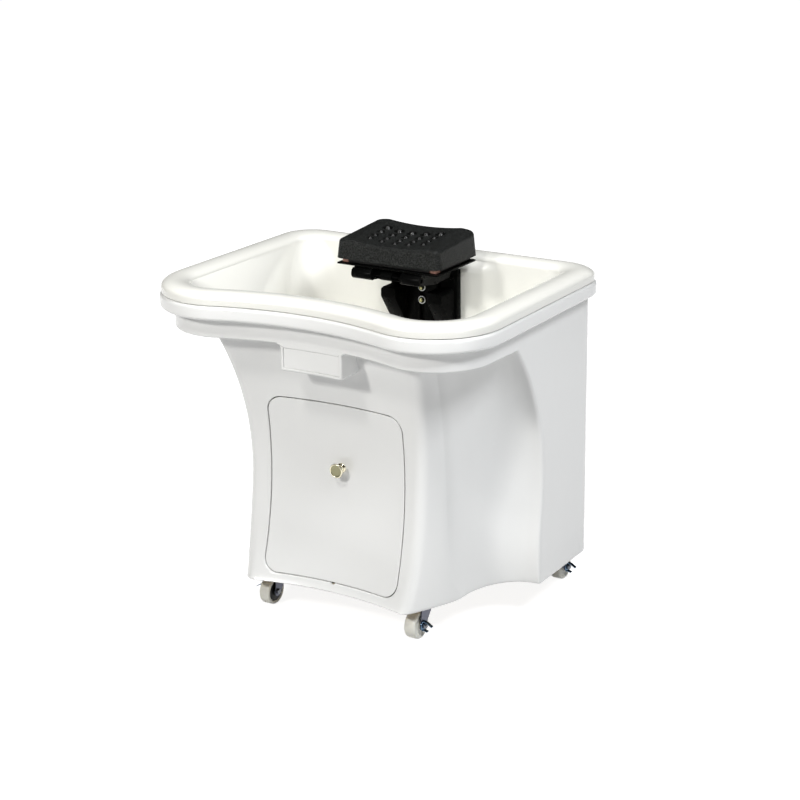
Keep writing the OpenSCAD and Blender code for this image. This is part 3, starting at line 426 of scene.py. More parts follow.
def gelcoat(name, colour, shade, gloss=0.09):
    """Moulded gelcoat: a faint cloudiness, a waxed gloss of uneven sharpness and a long shallow wave."""
    material, tree, shader = new_material(name, colour, 0.22)
    shader.inputs["Coat Weight"].default_value = 0.5
    shader.inputs["Coat Roughness"].default_value = gloss
    vary(tree, shader, "Base Color", noise(tree, 5, 2), shade, colour)
    vary(tree, shader, "Roughness", noise(tree, 30, 4), 0.16, 0.3)
    relief(tree, shader, noise(tree, 34, 1), 0.0002)
    return material


white_gelcoat = gelcoat("white_gelcoat", (0.865, 0.865, 0.855), (0.845, 0.847, 0.84))


def band_outline(grow=0.0):
    """The band's outline; grown, it stays clear of the rim's edge at the back."""
    back = BOX_BACK + BAND_FLARE_BACK * grow
    front = BAND_FRONT - grow
    half = BOX_HALF + grow
    return rim_outline(half, half, front, front + NECK_DIP, back, BAND_R + grow, BOX_BACK_R + grow, back)


def ledge_weights():
    """1 along the front and the scoops, falling to 0 where the side panels start."""
    reach = FRONT_STEPS + CORNER_STEPS + SIDE_STEPS
    half = [clamp01(1 - (i - reach) / SCOOP_STEPS) for i in range(len(cabinet_outline(MID_Z)) // 2 + 1)]
    return half + half[-2:0:-1]


LEDGE = ledge_weights()
BAND = band_outline()

# The outside, from the rounded bottom edge up to the seam: sides, cove, band and rim
quarter = quarter_turn(EDGE_RINGS)
bottom = cabinet_outline(FLOOR_GAP)
outside = []
for a in quarter[:-1]:
    z = FLOOR_GAP + BOTTOM_EDGE * (1 - cos(a))
    outside.append(at_height(inset(bottom, BOTTOM_EDGE * (1 - sin(a))), z))
for t in parts(SIDE_RINGS):
    z = lerp(FLOOR_GAP, COVE_Z, t)
    outside.append(at_height(cabinet_outline(z), z))
for a in quarter_turn(COVE_RINGS, 1):
    z = COVE_Z + COVE * sin(a)
    outside.append(at_height(inset(cabinet_outline(z), [-COVE * (1 - cos(a)) * w for w in LEDGE]), z))
for a in quarter:
    z = LEDGE_Z + BAND_SOFT - BAND_EDGE * cos(a)
    outside.append(at_height(inset(BAND, [BAND_EDGE * (1 - sin(a)) * w for w in LEDGE]), z))
for t in parts(BAND_RINGS):
    outside.append(at_height(BAND, lerp(LEDGE_Z + BAND_SOFT, RIM_LOW - BAND_SOFT, t)))
for a in quarter[1:]:
    outside.append(at_height(band_outline(BAND_FLARE * (1 - cos(a))), RIM_LOW - BAND_SOFT * (1 - sin(a))))
for a in quarter:
    outside.append(rim_ring(RIM_EDGE * (1 - sin(a)), RIM_LOW + RIM_EDGE * (1 - cos(a))))
for a in quarter:
    outside.append(rim_ring(RIM_EDGE * (1 - cos(a)), SEAM_Z - RIM_EDGE * (1 - sin(a))))

# The inside, back down to the bottom edge
inside = [
    at_height(inset(BAND, WALL), SEAM_Z),
    at_height(inset(BAND, WALL), LEDGE_Z + LEDGE_LIP + WALL),
    at_height(inset(cabinet_outline(LEDGE_Z), WALL), LEDGE_Z - LEDGE_LIP / 2 + WALL),
]
for t in parts(INSIDE_RINGS, 0):
    z = lerp(COVE_Z, FLOOR_GAP, t)
    inside.append(at_height(inset(cabinet_outline(z), WALL), z))
bm = loft(outside + inside, joined=True)
cabinet = finished("cabinet_moulding", bm, "cabinet", white_gelcoat)
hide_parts("cabinet_shell")

# Basin
# A second moulding, set into the cabinet: a broad rolled rim and a deep bowl with a flat pillar at its back.
# Its gelcoat is a little warmer than the cabinet's, and it hangs by the rim on the cabinet's own rim.
RIM_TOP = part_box("basin")[1].z

# The rolled rim and the parting line under it
SEAM = 0.0012
FLANGE_STEP = 0.003
FLANGE_T = 0.007
FLANGE_EDGE = 0.001
OUTER_ROLL = 0.013
INNER_ROLL = 0.012

# The bowl, its pillar and the recess for the waste
BOWL_DEPTH = 0.172
BOWL_WALL = 0.005
BOWL_ROOM = 0.008
BOWL_FRONT_R = 0.065
BOWL_BACK_R = 0.085
SIDE_DRAFT = 0.22
BACK_DRAFT = 0.05
FLOOR_FILLET = 0.02
PILLAR_Y = 0.1853
PILLAR_ROLL = 0.018
DRAIN = Vector((0, 0.02))
DRAIN_HOLE_R = 0.025
RECESS_R = 0.044
RECESS_EDGE = 0.004
RECESS_LIP = 0.001

# Rings of the bowl's wall, of the fillet at its foot, of its floor and of each half of the rolled rim
BOWL_RINGS = 34
FILLET_RINGS = 9
FLOOR_RINGS = 8
ROLL_RINGS = 14

# Heights that follow from these
EDGE_Z = RIM_TOP - INNER_ROLL
SHOULDER_Z = LEDGE_Z - WALL
FLOOR_Z = RIM_TOP - BOWL_DEPTH
BOWL_LOW = FLOOR_Z + FLOOR_FILLET
RECESS_Z = FLOOR_Z - RECESS_EDGE


def bowl_outline(z):
    """The bowl's inside at a height: it leaves the rim's outline and keeps clear of the dished front."""
    low = min(z, SHOULDER_Z)
    room = WALL + BOWL_WALL + BOWL_ROOM
    low_half = face_half(low) - room
    low_neck = face_y(0, low) + room
    low_front = face_y(low_half - BOWL_FRONT_R, low) + room
    ease = sin(pi / 2 * clamp01((EDGE_Z - z) / (EDGE_Z - SHOULDER_Z)))
    depth = EDGE_Z - z
    top = RIM_HALF - LAND_W
    back = RIM_BACK - LAND_W
    pillar_share = sin(pi / 2 * clamp01(depth / PILLAR_ROLL))
    return rim_outline(
        lerp(top, low_half, ease), top - SIDE_DRAFT * depth,
        lerp(RIM_FRONT + LAND_W, low_front, ease), lerp(RIM_FRONT + NECK_DIP + LAND_W, low_neck, ease),
        back - BACK_DRAFT * depth, lerp(FRONT_R - LAND_W, BOWL_FRONT_R, ease),
        lerp(INNER_BACK_R, BOWL_BACK_R, ease), lerp(back, PILLAR_Y, pillar_share)
    )


FOOT = bowl_outline(BOWL_LOW)


def round_ring(radius, z):
    """A round ring about the waste, with a point for each point of the bowl's outline."""
    return at_height([DRAIN + radius * (p - DRAIN).normalized() for p in FOOT], z)


def floor_ring(angle, radius, distance):
    """A ring of the fillet between the bowl's wall and its floor."""
    return at_height(inset(FOOT, distance + radius * (1 - cos(angle))), BOWL_LOW - radius * sin(angle))


wall_heights = [lerp(EDGE_Z, BOWL_LOW, t) for t in parts(BOWL_RINGS)]

# From the hole for the waste, along the underside, over the rolled rim and down the bowl to the hole again
under_z = RECESS_Z - BOWL_WALL
under = [round_ring(DRAIN_HOLE_R, under_z), round_ring(RECESS_R + BOWL_WALL, under_z)]
under += [floor_ring(a, FLOOR_FILLET + BOWL_WALL, -BOWL_WALL) for a in reversed(quarter)]
under += [at_height(inset(bowl_outline(z), -BOWL_WALL), z) for z in wall_heights[-4:1:-4]]
rim = [
    rim_ring(LAND_W - FLANGE_T - FLANGE_STEP, RIM_TOP - FLANGE_T),
    rim_ring(FLANGE_STEP + FLANGE_T, RIM_TOP - FLANGE_T),
    rim_ring(FLANGE_STEP + FLANGE_T, SEAM_Z + SEAM),
]
for a in quarter:
    z = SEAM_Z + SEAM + FLANGE_EDGE * (1 - cos(a))
    rim.append(rim_ring(FLANGE_STEP + FLANGE_EDGE * (1 - sin(a)), z))
for a in quarter_turn(ROLL_RINGS):
    i = FLANGE_STEP + (LAND_W / 2 - FLANGE_STEP) * (1 - cos(a))
    rim.append(rim_ring(i, RIM_TOP - OUTER_ROLL * (1 - sin(a))))
for a in quarter_turn(ROLL_RINGS, 1):
    rim.append(rim_ring(LAND_W - LAND_W / 2 * (1 - sin(a)), RIM_TOP - INNER_ROLL * (1 - cos(a))))
bowl = [at_height(bowl_outline(z), z) for z in wall_heights[:-1]]
bowl += [floor_ring(a, FLOOR_FILLET, 0) for a in quarter_turn(FILLET_RINGS)]
foot_edge = floor_ring(pi / 2, FLOOR_FILLET, 0)
recess_rim = round_ring(RECESS_R + RECESS_EDGE, FLOOR_Z - RECESS_LIP)
bowl += [[a.lerp(b, t) for a, b in zip(foot_edge, recess_rim)] for t in parts(FLOOR_RINGS)]
for a in quarter[1:]:
    z = FLOOR_Z - RECESS_LIP - (RECESS_EDGE - RECESS_LIP) * (1 - cos(a))
    bowl.append(round_ring(RECESS_R + RECESS_EDGE * (1 - sin(a)), z))
bowl += [round_ring(DRAIN_HOLE_R, RECESS_Z)]
warm_gelcoat = gelcoat("warm_gelcoat", (0.88, 0.875, 0.83), (0.86, 0.855, 0.805), gloss=0.24)
bm = loft(under + rim + bowl, joined=True)
basin = finished("basin_moulding", bm, "cabinet", warm_gelcoat)
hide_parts("basin")

# Door
# A lift-off panel of the same moulding, cut to the dished front, with a thin dark gap all round.
# Both cut edges are eased with a file and polished, so they catch a line of light.
DOOR_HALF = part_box("door_panel")[1].x
DOOR_Z0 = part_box("door_panel")[0].z
DOOR_Z1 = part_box("door_panel")[1].z
DOOR_ZC = (DOOR_Z0 + DOOR_Z1) / 2
DOOR_R = 0.027
DOOR_T = 0.005
DOOR_GAP = 0.0018
CUT_EDGE = 0.0013
CUT_ABOVE = 0.001
CUT_THROUGH = 0.03
NOTCH_R = 0.005
NOTCH_REACH = 0.1
BACK_CLEAR = 0.0002
BACK_STEP = 0.0005
BACK_EDGE = 0.0015
SKIN_MIDDLE = 0.93
SKIN_RINGS = 22


def rounded_rectangle(half_width, half_height, radius, steps=(12, 12, 8)):
    """Outline in x and z about its own middle, from the middle of its lower side, right-handed."""
    x0 = half_width - radius
    z0 = half_height - radius
    half = [Vector((0, -half_height))]
    half += straight(Vector((0, -half_height)), Vector((x0, -half_height)), steps[0])
    half += arc(Vector((x0, -z0)), radius, -pi / 2, 0, steps[2])
    half += straight(Vector((half_width, -z0)), Vector((half_width, z0)), 2 * steps[1])
    half += arc(Vector((x0, z0)), radius, 0, pi / 2, steps[2])
    return mirrored(half + straight(Vector((x0, half_height)), Vector((0, half_height)), steps[0]))


def on_sphere(outline, depth):
    """Lays an outline on the dished front, depth behind its face."""
    radius = FACE_R + depth
    placed = []
    for p in outline:
        z = p.y + DOOR_ZC
        placed.append(Vector((p.x, FACE_CY + sqrt(radius ** 2 - p.x ** 2 - (z - MID_Z) ** 2), z)))
    return placed


def door_outline(grow, shrink=1.0):
    """The door's outline in x and z about its middle, grown all round and then shrunk to its middle."""
    full = rounded_rectangle(DOOR_HALF + grow, (DOOR_Z1 - DOOR_Z0) / 2 + grow, DOOR_R + grow)
    return [p * shrink for p in full]


def carve(piece, bm):
    """Cuts a closed form out of a piece and keeps the result as the piece's own mesh."""
    bmesh.ops.recalc_face_normals(bm, faces=bm.faces)
    cutter = new_object("cutter", bm)
    cut = piece.modifiers.new("cut", "BOOLEAN")
    cut.object = cutter
    cut.solver = "EXACT"
    bpy.context.view_layer.update()
    whole = piece.evaluated_get(bpy.context.evaluated_depsgraph_get())
    mesh = bpy.data.meshes.new_from_object(whole)
    piece.modifiers.remove(cut)
    piece.data = mesh
    bpy.data.objects.remove(cutter)


# The hole in the cabinet, with a finger notch at its lower edge
hole = [on_sphere(door_outline(DOOR_GAP + CUT_EDGE + CUT_ABOVE), -CUT_ABOVE)]
for a in quarter:
    hole.append(on_sphere(door_outline(DOOR_GAP + CUT_EDGE * (1 - sin(a))), CUT_EDGE * (1 - cos(a))))
hole.append(on_sphere(door_outline(DOOR_GAP), CUT_THROUGH))
carve(cabinet, loft(hole))
bm = bmesh.new()
bmesh.ops.create_cone(
    bm, cap_ends=True, segments=32, radius1=NOTCH_R, radius2=NOTCH_R, depth=NOTCH_REACH,
    matrix=Matrix.Translation((0, face_y(0, DOOR_Z0), DOOR_Z0)) @ Matrix.Rotation(pi / 2, 4, "X")
)
carve(cabinet, bm)
cabinet.data.set_sharp_from_angle(angle=radians(SHARP_ANGLE))

# The door itself, from the middle of its face over the edge to the middle of its back
shrinks = [1 - SKIN_MIDDLE * t for t in parts(SKIN_RINGS)]
front_skin = [on_sphere(door_outline(-CUT_EDGE, s), 0) for s in reversed(shrinks)]
edge = [on_sphere(door_outline(-CUT_EDGE * (1 - sin(a))), CUT_EDGE * (1 - cos(a))) for a in quarter]
back_depth = DOOR_T - BACK_CLEAR
back_skin = [on_sphere(door_outline(-BACK_STEP), back_depth)]
back_skin += [on_sphere(door_outline(-BACK_EDGE, s), back_depth) for s in shrinks[::5]]
bm = loft(front_skin + edge + back_skin)
door = finished("door_moulding", bm, "door", white_gelcoat)
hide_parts("door_panel")

# Label place
# A blank box under the band, moulded with the cabinet, whose upper corners flare into the band.
# A raised border surrounds a shallow recess that holds a bare plate.
LABEL_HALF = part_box("label_frame")[1].x
LABEL_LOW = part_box("label_frame")[0].z
LABEL_R = 0.0055
LABEL_BORDER = 0.0055
LABEL_EDGE = 0.0036
LABEL_LIP = 0.0008
LABEL_FLARE = 0.007
LABEL_RECESS = 0.0022
LABEL_HIDDEN = 0.006
LABEL_BACK = 0.0003
PLATE_GAP = 0.0009
PLATE_T = 0.0009
PLATE_EDGE = 0.0004
RECESS_CORNER = 0.0025
LABEL_MIDDLE = Vector((0, (LABEL_LOW + LEDGE_Z) / 2))
LABEL_LOW_STEPS = 14
LABEL_CORNER_STEPS = 8
LABEL_SIDE_STEPS = 9
LABEL_FLARE_STEPS = 10
BAND_NECK_R = touching_radius(BOX_HALF - BAND_R, BAND_R - NECK_DIP, BAND_R)
BAND_NECK_Y = BAND_FRONT + NECK_DIP - BAND_NECK_R


def on_band(outline, depth):
    """Lays an outline on the band's hollow front, depth behind it."""
    radius = BAND_NECK_R + LABEL_BACK + depth
    return [Vector((p.x, BAND_NECK_Y + sqrt(radius ** 2 - p.x ** 2), p.y)) for p in outline]


def label_start(half, low, r):
    """The lower side and the lower corner, which the box and its recess share."""
    points = [Vector((0, low))] + straight(Vector((0, low)), Vector((half - r, low)), LABEL_LOW_STEPS)
    return points + arc(Vector((half - r, low + r)), r, -pi / 2, 0, LABEL_CORNER_STEPS)


def label_outline(shrink):
    """The box's outline in x and z: round lower corners, and sides that flare into the band."""
    half = LABEL_HALF - shrink
    low = LABEL_LOW + shrink
    r = LABEL_R - min(shrink, LABEL_R / 2)
    flare = Vector((half + LABEL_FLARE, LEDGE_Z - LABEL_FLARE))
    hidden = Vector((half + LABEL_FLARE, LEDGE_Z + LABEL_HIDDEN))
    right = label_start(half, low, r)
    right += straight(Vector((half, low + r)), Vector((half, flare.y)), LABEL_SIDE_STEPS - 1)
    right += arc(flare, LABEL_FLARE, pi, pi / 2, LABEL_FLARE_STEPS)
    right += [hidden] + straight(hidden, Vector((0, hidden.y)), LABEL_LOW_STEPS)
    return mirrored(right)


def recess_outline(grow):
    """The recess's outline, with a point for each point of the box's."""
    half = LABEL_HALF - LABEL_BORDER + grow
    high = LEDGE_Z - LABEL_BORDER + grow
    r = RECESS_CORNER + grow
    right = label_start(half, LABEL_LOW + LABEL_BORDER - grow, r)
    right += straight(right[-1], Vector((half, high - r)), LABEL_SIDE_STEPS)
    right += arc(Vector((half - r, high - r)), r, 0, pi / 2, LABEL_FLARE_STEPS)
    right += straight(Vector((half - r, high)), Vector((0, high)), LABEL_LOW_STEPS)
    return mirrored(right)


def towards_middle(outline, depth, shares=(0.8, 0.6, 0.4, 0.2, 0.04)):
    """Ever smaller rings that carry an outline's surface on to its middle."""
    return [on_band([LABEL_MIDDLE.lerp(p, share) for p in outline], depth) for share in shares]


label_rings = [[Vector((p.x, face_y(p.x, min(p.y, COVE_Z)) + WALL / 2, p.y)) for p in label_outline(0)]]
for a in quarter:
    label_rings.append(on_band(label_outline(LABEL_EDGE * (1 - cos(a))), LABEL_EDGE * (1 - sin(a))))
for a in quarter:
    label_rings.append(on_band(recess_outline(LABEL_LIP * (1 - sin(a))), LABEL_LIP * (1 - cos(a))))
label_rings.append(on_band(recess_outline(0), LABEL_RECESS))
label_rings += towards_middle(recess_outline(0), LABEL_RECESS)
label = finished("label_box", loft(label_rings), "cabinet", white_gelcoat)
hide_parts("label_frame")

plate_edge = recess_outline(-PLATE_GAP)
plate_rings = list(reversed(towards_middle(plate_edge, LABEL_RECESS))) + [on_band(plate_edge, LABEL_RECESS)]
for a in quarter:
    eased = recess_outline(-PLATE_GAP - PLATE_EDGE * (1 - cos(a)))
    plate_rings.append(on_band(eased, LABEL_RECESS - PLATE_T + PLATE_EDGE * (1 - sin(a))))
plate_rings += towards_middle(eased, LABEL_RECESS - PLATE_T)
label_plate = finished("label_blank", loft(plate_rings), "cabinet", white_gelcoat)
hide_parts("label_plate")

# Knob
# A turned and plated brass knob on a small rosette, held by a screw from behind the door.
# Its disc has a bright raised rim round a satin hollow, whose darker olive colour is painted shade; the neck
# has a fine groove turned in it.
KNOB_R = (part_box("door_knob")[1].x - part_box("door_knob")[0].x) / 2
KNOB_Z = (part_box("door_knob")[1].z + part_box("door_knob")[0].z) / 2
KNOB_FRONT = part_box("door_knob")[0].y
KNOB_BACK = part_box("door_knob")[1].y
ROSETTE_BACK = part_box("knob_rosette")[1].y
KNOB_L = KNOB_BACK - KNOB_FRONT
DISC_T = 0.0034
DISC_LOW = KNOB_L - DISC_T
RIM_RISE = 0.0008
FACE_DEPTH = 0.0011
SHADED_FACE_DEPTH = 0.0013
SHADED_FACE_INSET = 0.0024


def turned(bm, profile, steps):
    """Spins a profile of radius and height about Z into a closed turned part."""
    corners = [bm.verts.new((radius, 0, height)) for radius, height in profile]
    edges = [bm.edges.new(pair) for pair in zip(corners, corners[1:])]
    bmesh.ops.spin(
        bm, geom=corners + edges, cent=(0, 0, 0), axis=(0, 0, 1), dvec=(0, 0, 0), angle=tau, steps=steps,
        use_merge=True, use_duplicate=False
    )
    bmesh.ops.remove_doubles(bm, verts=bm.verts, dist=SAME_POINT)


def rounded_profile(points, radius, steps=3):
    """A profile whose corners, apart from its ends, are rounded over."""
    out = [Vector(points[0])]
    for before, corner, after in zip(points, points[1:], points[2:]):
        before, corner, after = Vector(before), Vector(corner), Vector(after)
        reach = min(radius, (before - corner).length / 2.1, (after - corner).length / 2.1)
        start = corner + (before - corner).normalized() * reach
        end = corner + (after - corner).normalized() * reach
        out += [start] + bend(start, corner, end, steps)
    return out + [Vector(points[-1])]


def face_front(bm, verts, y, z):
    """Turns what was spun about Z to face the front, with its foot at a place on the middle line."""
    aim = Matrix.Translation((0, y, z)) @ Matrix.Rotation(pi / 2, 4, "X")
    bmesh.ops.transform(bm, matrix=aim, verts=verts)


def metal(name, colour, roughness, wear=0.08, stain=0.86):
    """Plated or brushed metal: uneven sharpness, fine handling marks and a faint stain."""
    material, tree, shader = new_material(name, colour, roughness, 1.0)
    shade = tuple(stain * c for c in colour)
    vary(tree, shader, "Base Color", noise(tree, 90, 5), shade, colour)
    vary(tree, shader, "Roughness", noise(tree, 260, 6), roughness - wear, roughness + wear)
    relief(tree, shader, noise(tree, 900, 3), 0.00003)
    return material


champagne = metal("champagne_plating", (0.74, 0.69, 0.53), 0.2)
# A darker olive copy of the plating, with a satin roughness: painted shade on the knob's hollow face
knob_face_shade = metal("knob_face_satin_painted_shade", (0.28, 0.265, 0.165), 0.4)

# Radius and height of the foot and the grooved neck, then of the disc, its rim and its hollow
knob_profile = rounded_profile([
    (0, 0), (0.006, 0), (0.0052, 0.0016), (0.0042, 0.0024), (0.0046, 0.0034), (0.0042, 0.0044),
    (0.0043, DISC_LOW - 0.004), (0.0068, DISC_LOW - 0.0022),
    (KNOB_R - 0.0012, DISC_LOW), (KNOB_R, DISC_LOW + 0.0012),
    (KNOB_R, KNOB_L - RIM_RISE), (KNOB_R - 0.0009, KNOB_L), (KNOB_R - 0.002, KNOB_L),
    (KNOB_R - 0.0028, KNOB_L - RIM_RISE), (0.006, KNOB_L - FACE_DEPTH), (0, KNOB_L - FACE_DEPTH),
], radius=0.0006)
bm = bmesh.new()
turned(bm, knob_profile, steps=96)
# The faces of the hollow take the darker olive metal as painted shade
for face in bm.faces:
    middle = face.calc_center_median()
    if middle.z > KNOB_L - SHADED_FACE_DEPTH and middle.xy.length < KNOB_R - SHADED_FACE_INSET:
        face.material_index = 1
face_front(bm, bm.verts, KNOB_BACK, KNOB_Z)
knob = finished("knob_turning", bm, "door", champagne)
knob.data.materials.append(knob_face_shade)
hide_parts("door_knob")
bm = bmesh.new()
rosette_profile = [
    (0, 0), (0.009, 0), (0.009, 0.0008), (0.0085, 0.0014), (0.0074, 0.0024), (0.0066, 0.003), (0, 0.003),
]
turned(bm, rounded_profile(rosette_profile, radius=0.0005), steps=64)
face_front(bm, bm.verts, ROSETTE_BACK, KNOB_Z)
rosette = finished("knob_rose", bm, "door", champagne)
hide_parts("knob_rosette")

# Fixings
# Zinc-plated screws, and the door's nickel-plated magnets and strikes: bought in, so each keeps the
# shape that the frame gives it. The door's landing behind the gap is coloured dark as painted shade in the
# gap.
zinc = metal("zinc_plating", (0.72, 0.73, 0.75), 0.3)
nickel = metal("magnet_nickel", (0.55, 0.55, 0.57), 0.34)


def dressed(node, material):
    """Gives a piece of the frame its finish."""
    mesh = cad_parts[node].data
    mesh.materials.clear()
    mesh.materials.append(material)


for node in ("knob_screw", "caster_plate_screws", "board_screws"):
    dressed(node, zinc)
for node in ("door_magnets", "door_strikes"):
    dressed(node, nickel)
# Near-black colour for the landing behind the door's gap: painted shade in the gap
gap_shade, tree, shader = new_material("gap_painted_shade", (0.12, 0.115, 0.10), 0.6)
vary(tree, shader, "Base Color", noise(tree, 120, 5), (0.08, 0.076, 0.065), (0.14, 0.135, 0.12))
vary(tree, shader, "Roughness", noise(tree, 200, 4), 0.5, 0.75)
relief(tree, shader, noise(tree, 500, 4), 0.0001)
dressed("door_frame", gap_shade)

# Waste
# A pressed stainless outlet with a rubber seal, a locknut below the bowl and a tailpiece for the hose.
# The strainer is a loose lift-out disc with a small knob.
stainless = metal("stainless_steel", (0.68, 0.69, 0.70), 0.2)
rubber, tree, shader = new_material("seal_rubber", (0.03, 0.03, 0.032), 0.7)
vary(tree, shader, "Roughness", noise(tree, 200, 5), 0.6, 0.82)
relief(tree, shader, noise(tree, 1500, 3), 0.00004)
nut_plastic, tree, shader = new_material("nut_plastic", (0.12, 0.12, 0.125), 0.45)
vary(tree, shader, "Roughness", noise(tree, 160, 4), 0.38, 0.55)
relief(tree, shader, noise(tree, 700, 4), 0.00005)
for node in ("drain_body", "drain_tailpiece", "drain_strainer"):
    dressed(node, stainless)
for node in ("drain_locknut", "tailpiece_nut"):
    dressed(node, nut_plastic)
dressed("drain_gasket", rubber)

# Base board
# Birch plywood sawn to the cabinet's outline, with the hose hole and the casters' screw holes in it.
# Its faces show grain along the width, and its edges show the plies.
plywood, tree, shader = new_material("birch_plywood", (0.72, 0.58, 0.40), 0.6)
vary(tree, shader, "Base Color", noise(tree, 14, 6, (0.25, 6, 60)), (0.55, 0.41, 0.26), (0.78, 0.65, 0.46))
vary(tree, shader, "Roughness", noise(tree, 60, 4), 0.5, 0.75)
relief(tree, shader, noise(tree, 40, 6, (0.3, 8, 8)), 0.0002)
dressed("base_board", plywood)

# Casters
# Four swivel casters: a pressed steel fork under a ball race, a nylon wheel with a thread guard on its
# inner side, coloured near black as painted shade, and a blued steel brake lever with an ear to tread on at
# each end.
CORNERS = ("front_left", "front_right", "rear_left", "rear_right")
WHEEL_HALF = 0.011
WHEEL_BORE = 0.0035
FACE_SINK = 0.0028
FACE_HALF = WHEEL_HALF - FACE_SINK
HUB_R = 0.0062
HUB_FOOT_R = 0.0072
HUB_HALF = 0.0118
TREAD_T = 0.0068
GUARD_SEAT = 0.0029
GUARD_SINK = 0.0015
GUARD_INSET = 0.0066
GUARD_EDGE = 0.0004
GUARD_HUB_R = 0.0078
GUARD_BOSS_R = 0.007

# How a piece of the frame is merged, and which of its edges are rounded over, in degrees and widths
CAD_POINT = 1e-5
FLAT_ANGLE = 0.5
EDGE_ANGLE = 32
SHORTEST_EDGE = 1.5
caster_steel = metal("caster_steel", (0.125, 0.13, 0.165), 0.34)
axle_steel = metal("axle_steel", (0.2, 0.21, 0.23), 0.36)
blued_steel = metal("blued_steel", (0.10, 0.16, 0.24), 0.22, wear=0.06)
nylon, tree, shader = new_material("wheel_nylon", (0.86, 0.85, 0.78), 0.42)
shader.inputs["Subsurface Weight"].default_value = 0.15
shader.inputs["Subsurface Radius"].default_value = (0.004, 0.004, 0.003)
vary(tree, shader, "Base Color", noise(tree, 120, 6), (0.84, 0.83, 0.75), (0.95, 0.94, 0.87))
vary(tree, shader, "Roughness", noise(tree, 220, 4), 0.32, 0.52)
relief(tree, shader, noise(tree, 500, 5), 0.00012)
# Near black for the guards stands for painted shade on the wheels' inner sides, which face the shade under
# the cabinet
guard_painted_shade, tree, shader = new_material("guard_painted_shade", (0.005, 0.005, 0.005), 0.3)
shader.inputs["Specular IOR Level"].default_value = 0.15
vary(tree, shader, "Roughness", noise(tree, 260, 4), 0.24, 0.4)
relief(tree, shader, noise(tree, 900, 3), 0.00003)


def softened(name, node, body, material, width):
    """A copy of a piece of the frame, merged and with its edges rounded over, which then replaces it."""
    bm = bmesh.new()
    bm.from_mesh(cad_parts[node].data)
    bmesh.ops.remove_doubles(bm, verts=bm.verts, dist=CAD_POINT)
    bmesh.ops.dissolve_limit(bm, angle_limit=radians(FLAT_ANGLE), verts=bm.verts, edges=bm.edges)
    least = SHORTEST_EDGE * width
    sharp = [
        e for e in bm.edges
        if e.is_manifold and e.calc_face_angle() > radians(EDGE_ANGLE) and e.calc_length() > least
    ]
    bmesh.ops.bevel(
        bm, geom=sharp, offset=width, segments=2, profile=0.5, affect="EDGES", material=-1,
        clamp_overlap=True
    )
    piece = finished(name, bm, body, material)
    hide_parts(node)
    return piece


dressed("caster_plates", caster_steel)
for corner in CORNERS:
    low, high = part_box(f"wheel_{corner}")
    centre = (low + high) / 2
    wheel_r = (high.z - low.z) / 2
    outer = 1 if centre.x > 0 else -1

    # Radius and half width of the wheel: hub, sunk face and tread, and the same inwards without the hub
    side = [
        (wheel_r - TREAD_T, FACE_HALF), (wheel_r - 0.0048, WHEEL_HALF - 0.0004),
        (wheel_r - 0.0016, WHEEL_HALF - 0.0002), (wheel_r, FACE_HALF),
    ]
    hub = [(WHEEL_BORE, HUB_HALF), (HUB_R, HUB_HALF), (HUB_FOOT_R, FACE_HALF)]
    inner_side = [(radius, -width) for radius, width in reversed(side)]
    tread = rounded_profile(hub + side + inner_side + [(WHEEL_BORE, -FACE_HALF)], radius=0.0014)
    bm = bmesh.new()
    turned(bm, tread + tread[:1], steps=72)
    turn = Matrix.Translation(centre) @ Matrix.Rotation(outer * pi / 2, 4, "Y")
    bmesh.ops.transform(bm, matrix=turn, verts=bm.verts)
    wheel = finished(f"tread_{corner}", bm, f"roller_{corner}", nylon)
    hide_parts(f"wheel_{corner}")
    guard = rounded_profile([
        (WHEEL_BORE, GUARD_SEAT - WHEEL_HALF), (wheel_r - GUARD_INSET, GUARD_SEAT - WHEEL_HALF),
        (wheel_r - GUARD_INSET + GUARD_EDGE, GUARD_SINK - WHEEL_HALF), (GUARD_HUB_R, GUARD_SINK - WHEEL_HALF),
        (GUARD_BOSS_R, -HUB_HALF), (WHEEL_BORE, -HUB_HALF),
    ], radius=0.0006)
    bm = bmesh.new()
    turned(bm, guard + guard[:1], steps=72)
    bmesh.ops.transform(bm, matrix=turn, verts=bm.verts)
    finished(f"guard_{corner}", bm, f"roller_{corner}", guard_painted_shade)
    swivel = f"swivel_{corner}"
    lever = f"lever_{corner}"
    softened(f"yoke_{corner}", f"fork_{corner}", swivel, caster_steel, width=0.0005)
    softened(f"bolt_{corner}", f"axle_{corner}", swivel, axle_steel, width=0.0005)
    softened(f"pedal_{corner}", f"brake_{corner}", lever, blued_steel, width=0.0004)

# Head rest
# A powder-coated bracket on the bowl's pillar, an arm that slides in its channel, and a hinged plate.
# Two brass bolts with hollow zinc washers clamp the arm, each hollow coloured black as painted shade; its
# knuckle is slimmer than the hinge's barrels.
KNUCKLE_R = (0.006, 0.0105)
KNUCKLE_SLIM = 0.3
KNUCKLE_SHARE = 0.38
HEAD_SHARE = 0.62
RING_SHARE = 0.84
RING_HOLE = 0.0043
RING_RISE = 0.0003
RING_HOLLOW = 0.4
RING_EDGE = 0.0004
RING_BRIM = 0.0016
RING_SLOPE = 0.0006
RING_FOOT = 0.0001
RING_SHADE_INSET = 0.0018
powder, tree, shader = new_material("black_powder_coat", (0.004, 0.0042, 0.0042), 0.3)
shader.inputs["Specular IOR Level"].default_value = 0.03
vary(tree, shader, "Base Color", noise(tree, 40, 4), (0.0012, 0.0013, 0.0013), (0.003, 0.0031, 0.003))
vary(tree, shader, "Roughness", noise(tree, 180, 5), 0.22, 0.36)
relief(tree, shader, noise(tree, 1100, 3), 0.00005)
brass = metal("clamp_brass", (0.55, 0.53, 0.27), 0.22)
hinge_steel = metal("hinge_steel", (0.02, 0.02, 0.021), 0.36)
